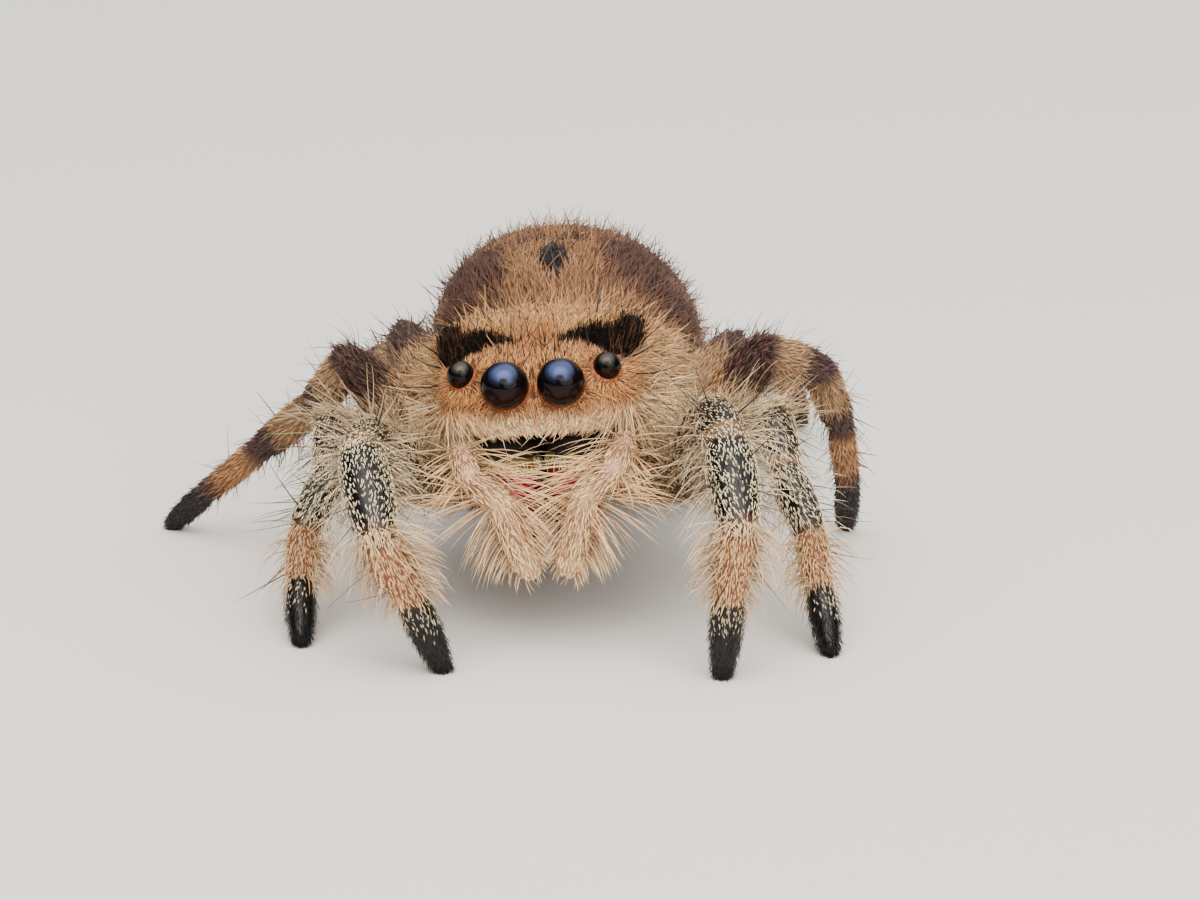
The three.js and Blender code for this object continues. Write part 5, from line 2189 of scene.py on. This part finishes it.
@dataclass
class Legs:
    """The coats of all eight legs, gathered into a few pieces."""

    skeleton: Skeleton

    def build(self, effects: Effects) -> None:
        """Makes a coat and a fringe for each leg pair of each side, and one piece of spines."""
        bones = self.skeleton
        bristle = HairFinish("leg_spine", roughness=0.35, specular=0.5)
        spines = Coat("spines_legs", bristle, "tibia_coat", 90)
        for leg in bones.legs:
            seed = 60 + 3 * leg.pair + (leg.side is Side.RIGHT)
            slot = "tibia_coat" if leg.front else "femur_coat"
            scales = Coat(f"coat_{leg.name}", HairFinish("leg_scale"), slot, seed)
            fringe = Coat(f"fringe_{leg.name}", HairFinish("leg_fringe"), slot, seed + 20)
            LegCoat(bones, leg).build(scales, fringe, spines)
            scales.build(effects)
            fringe.build(effects)
        spines.build(effects)


# ---- studio


@dataclass(frozen=True)
class Lamp:
    """An oval soft light; places and sizes are in metres, and its power in watts."""

    name: str
    place: Triple
    size: Pair
    power: float
    colour: Triple
    target: Triple = (0.0, -0.002, 0.003)

    def build(self) -> None:
        """Hangs the light and turns it to the animal."""
        lamp = bpy.data.lights.new(self.name, "AREA")
        lamp.shape = "ELLIPSE"
        lamp.size, lamp.size_y = self.size
        lamp.energy = self.power
        lamp.color = self.colour
        holder = new_object(self.name, lamp)
        away = unit(vec(*self.place) - vec(*self.target))
        holder.rotation_euler = (math.acos(away[2]), 0.0, math.atan2(away[1], away[0]) + math.pi / 2.0)
        holder.location = self.place


@dataclass(frozen=True)
class Studio:
    """Floor, lights, surround and camera."""

    floor_half: float = 1.5
    camera_place: Triple = (9.66, -109.87, 37.14)
    azimuth: float = 4.5
    elevation: float = 17.0
    lens: float = 196.65
    lamps: tuple[Lamp, ...] = (
        Lamp("softbox", (0.012, -0.035, 0.15), (0.44, 0.44), 1.0, (1.0, 0.97, 0.93)),
        Lamp("key", (0.004, -0.075, 0.12), (0.17, 0.17), 0.27, (1.0, 0.95, 0.89)),
        Lamp("front", (0.09, -0.13, 0.06), (0.2, 0.12), 0.2, (1.0, 0.95, 0.89)),
        Lamp("back", (0.05, 0.15, 0.06), (0.2, 0.2), 0.08, (1.0, 0.96, 0.91)),
    )

    def floor(self, effects: Effects) -> None:
        """A wide pale floor just under the feet."""
        mesh = bpy.data.meshes.new("floor")
        corners = [(x * self.floor_half, y * self.floor_half, 0.0)
                   for x, y in ((-1, -1), (1, -1), (1, 1), (-1, 1))]
        mesh.from_pydata(corners, [], [[0, 1, 2, 3]])
        mesh.materials.append(PaperFinish().material(effects))
        new_object("floor", mesh)

    def camera(self) -> None:
        """A long lens, level from side to side, looking down on the animal's face."""
        lens = bpy.data.cameras.new("camera")
        lens.lens = self.lens
        lens.sensor_width = 36.0
        lens.clip_start, lens.clip_end = 0.005, 10.0
        camera = new_object("camera", lens)
        camera.location = (vec(*self.camera_place) - ORIGIN) * MM
        camera.rotation_euler = (math.radians(90.0 - self.elevation), 0.0, math.radians(self.azimuth))
        bpy.context.scene.camera = camera

    def sky(self) -> None:
        """A plain, pale surround."""
        world = bpy.data.worlds.new("surround")
        bpy.context.scene.world = world
        world.use_nodes = True
        background = world.node_tree.nodes["Background"]
        background.inputs["Color"].default_value = (0.95, 0.96, 1.0, 1.0)
        background.inputs["Strength"].default_value = 0.1

    def build(self, effects: Effects) -> None:
        """Sets up the studio: a softbox overhead with a brighter one in it, a side and a rim light."""
        self.floor(effects)
        self.camera()
        self.sky()
        for lamp in self.lamps:
            lamp.build()


def main() -> None:
    """Builds the animal and the studio."""
    logging.basicConfig(level=logging.INFO, format="%(message)s")
    effects = Effects()
    Studio().build(effects)
    skeleton = Skeleton()
    Skin(skeleton).build(effects)
    EyeSet().build(effects)
    for assembly in (Mouth, HeadCoat, AbdomenCoat, UndersideCoat, JawCoat):
        assembly(skeleton).build(effects)
    for side in Side:
        PalpCoat(skeleton, side).build(effects)
    Legs(skeleton).build(effects)


if __name__ == "__main__":
    main()
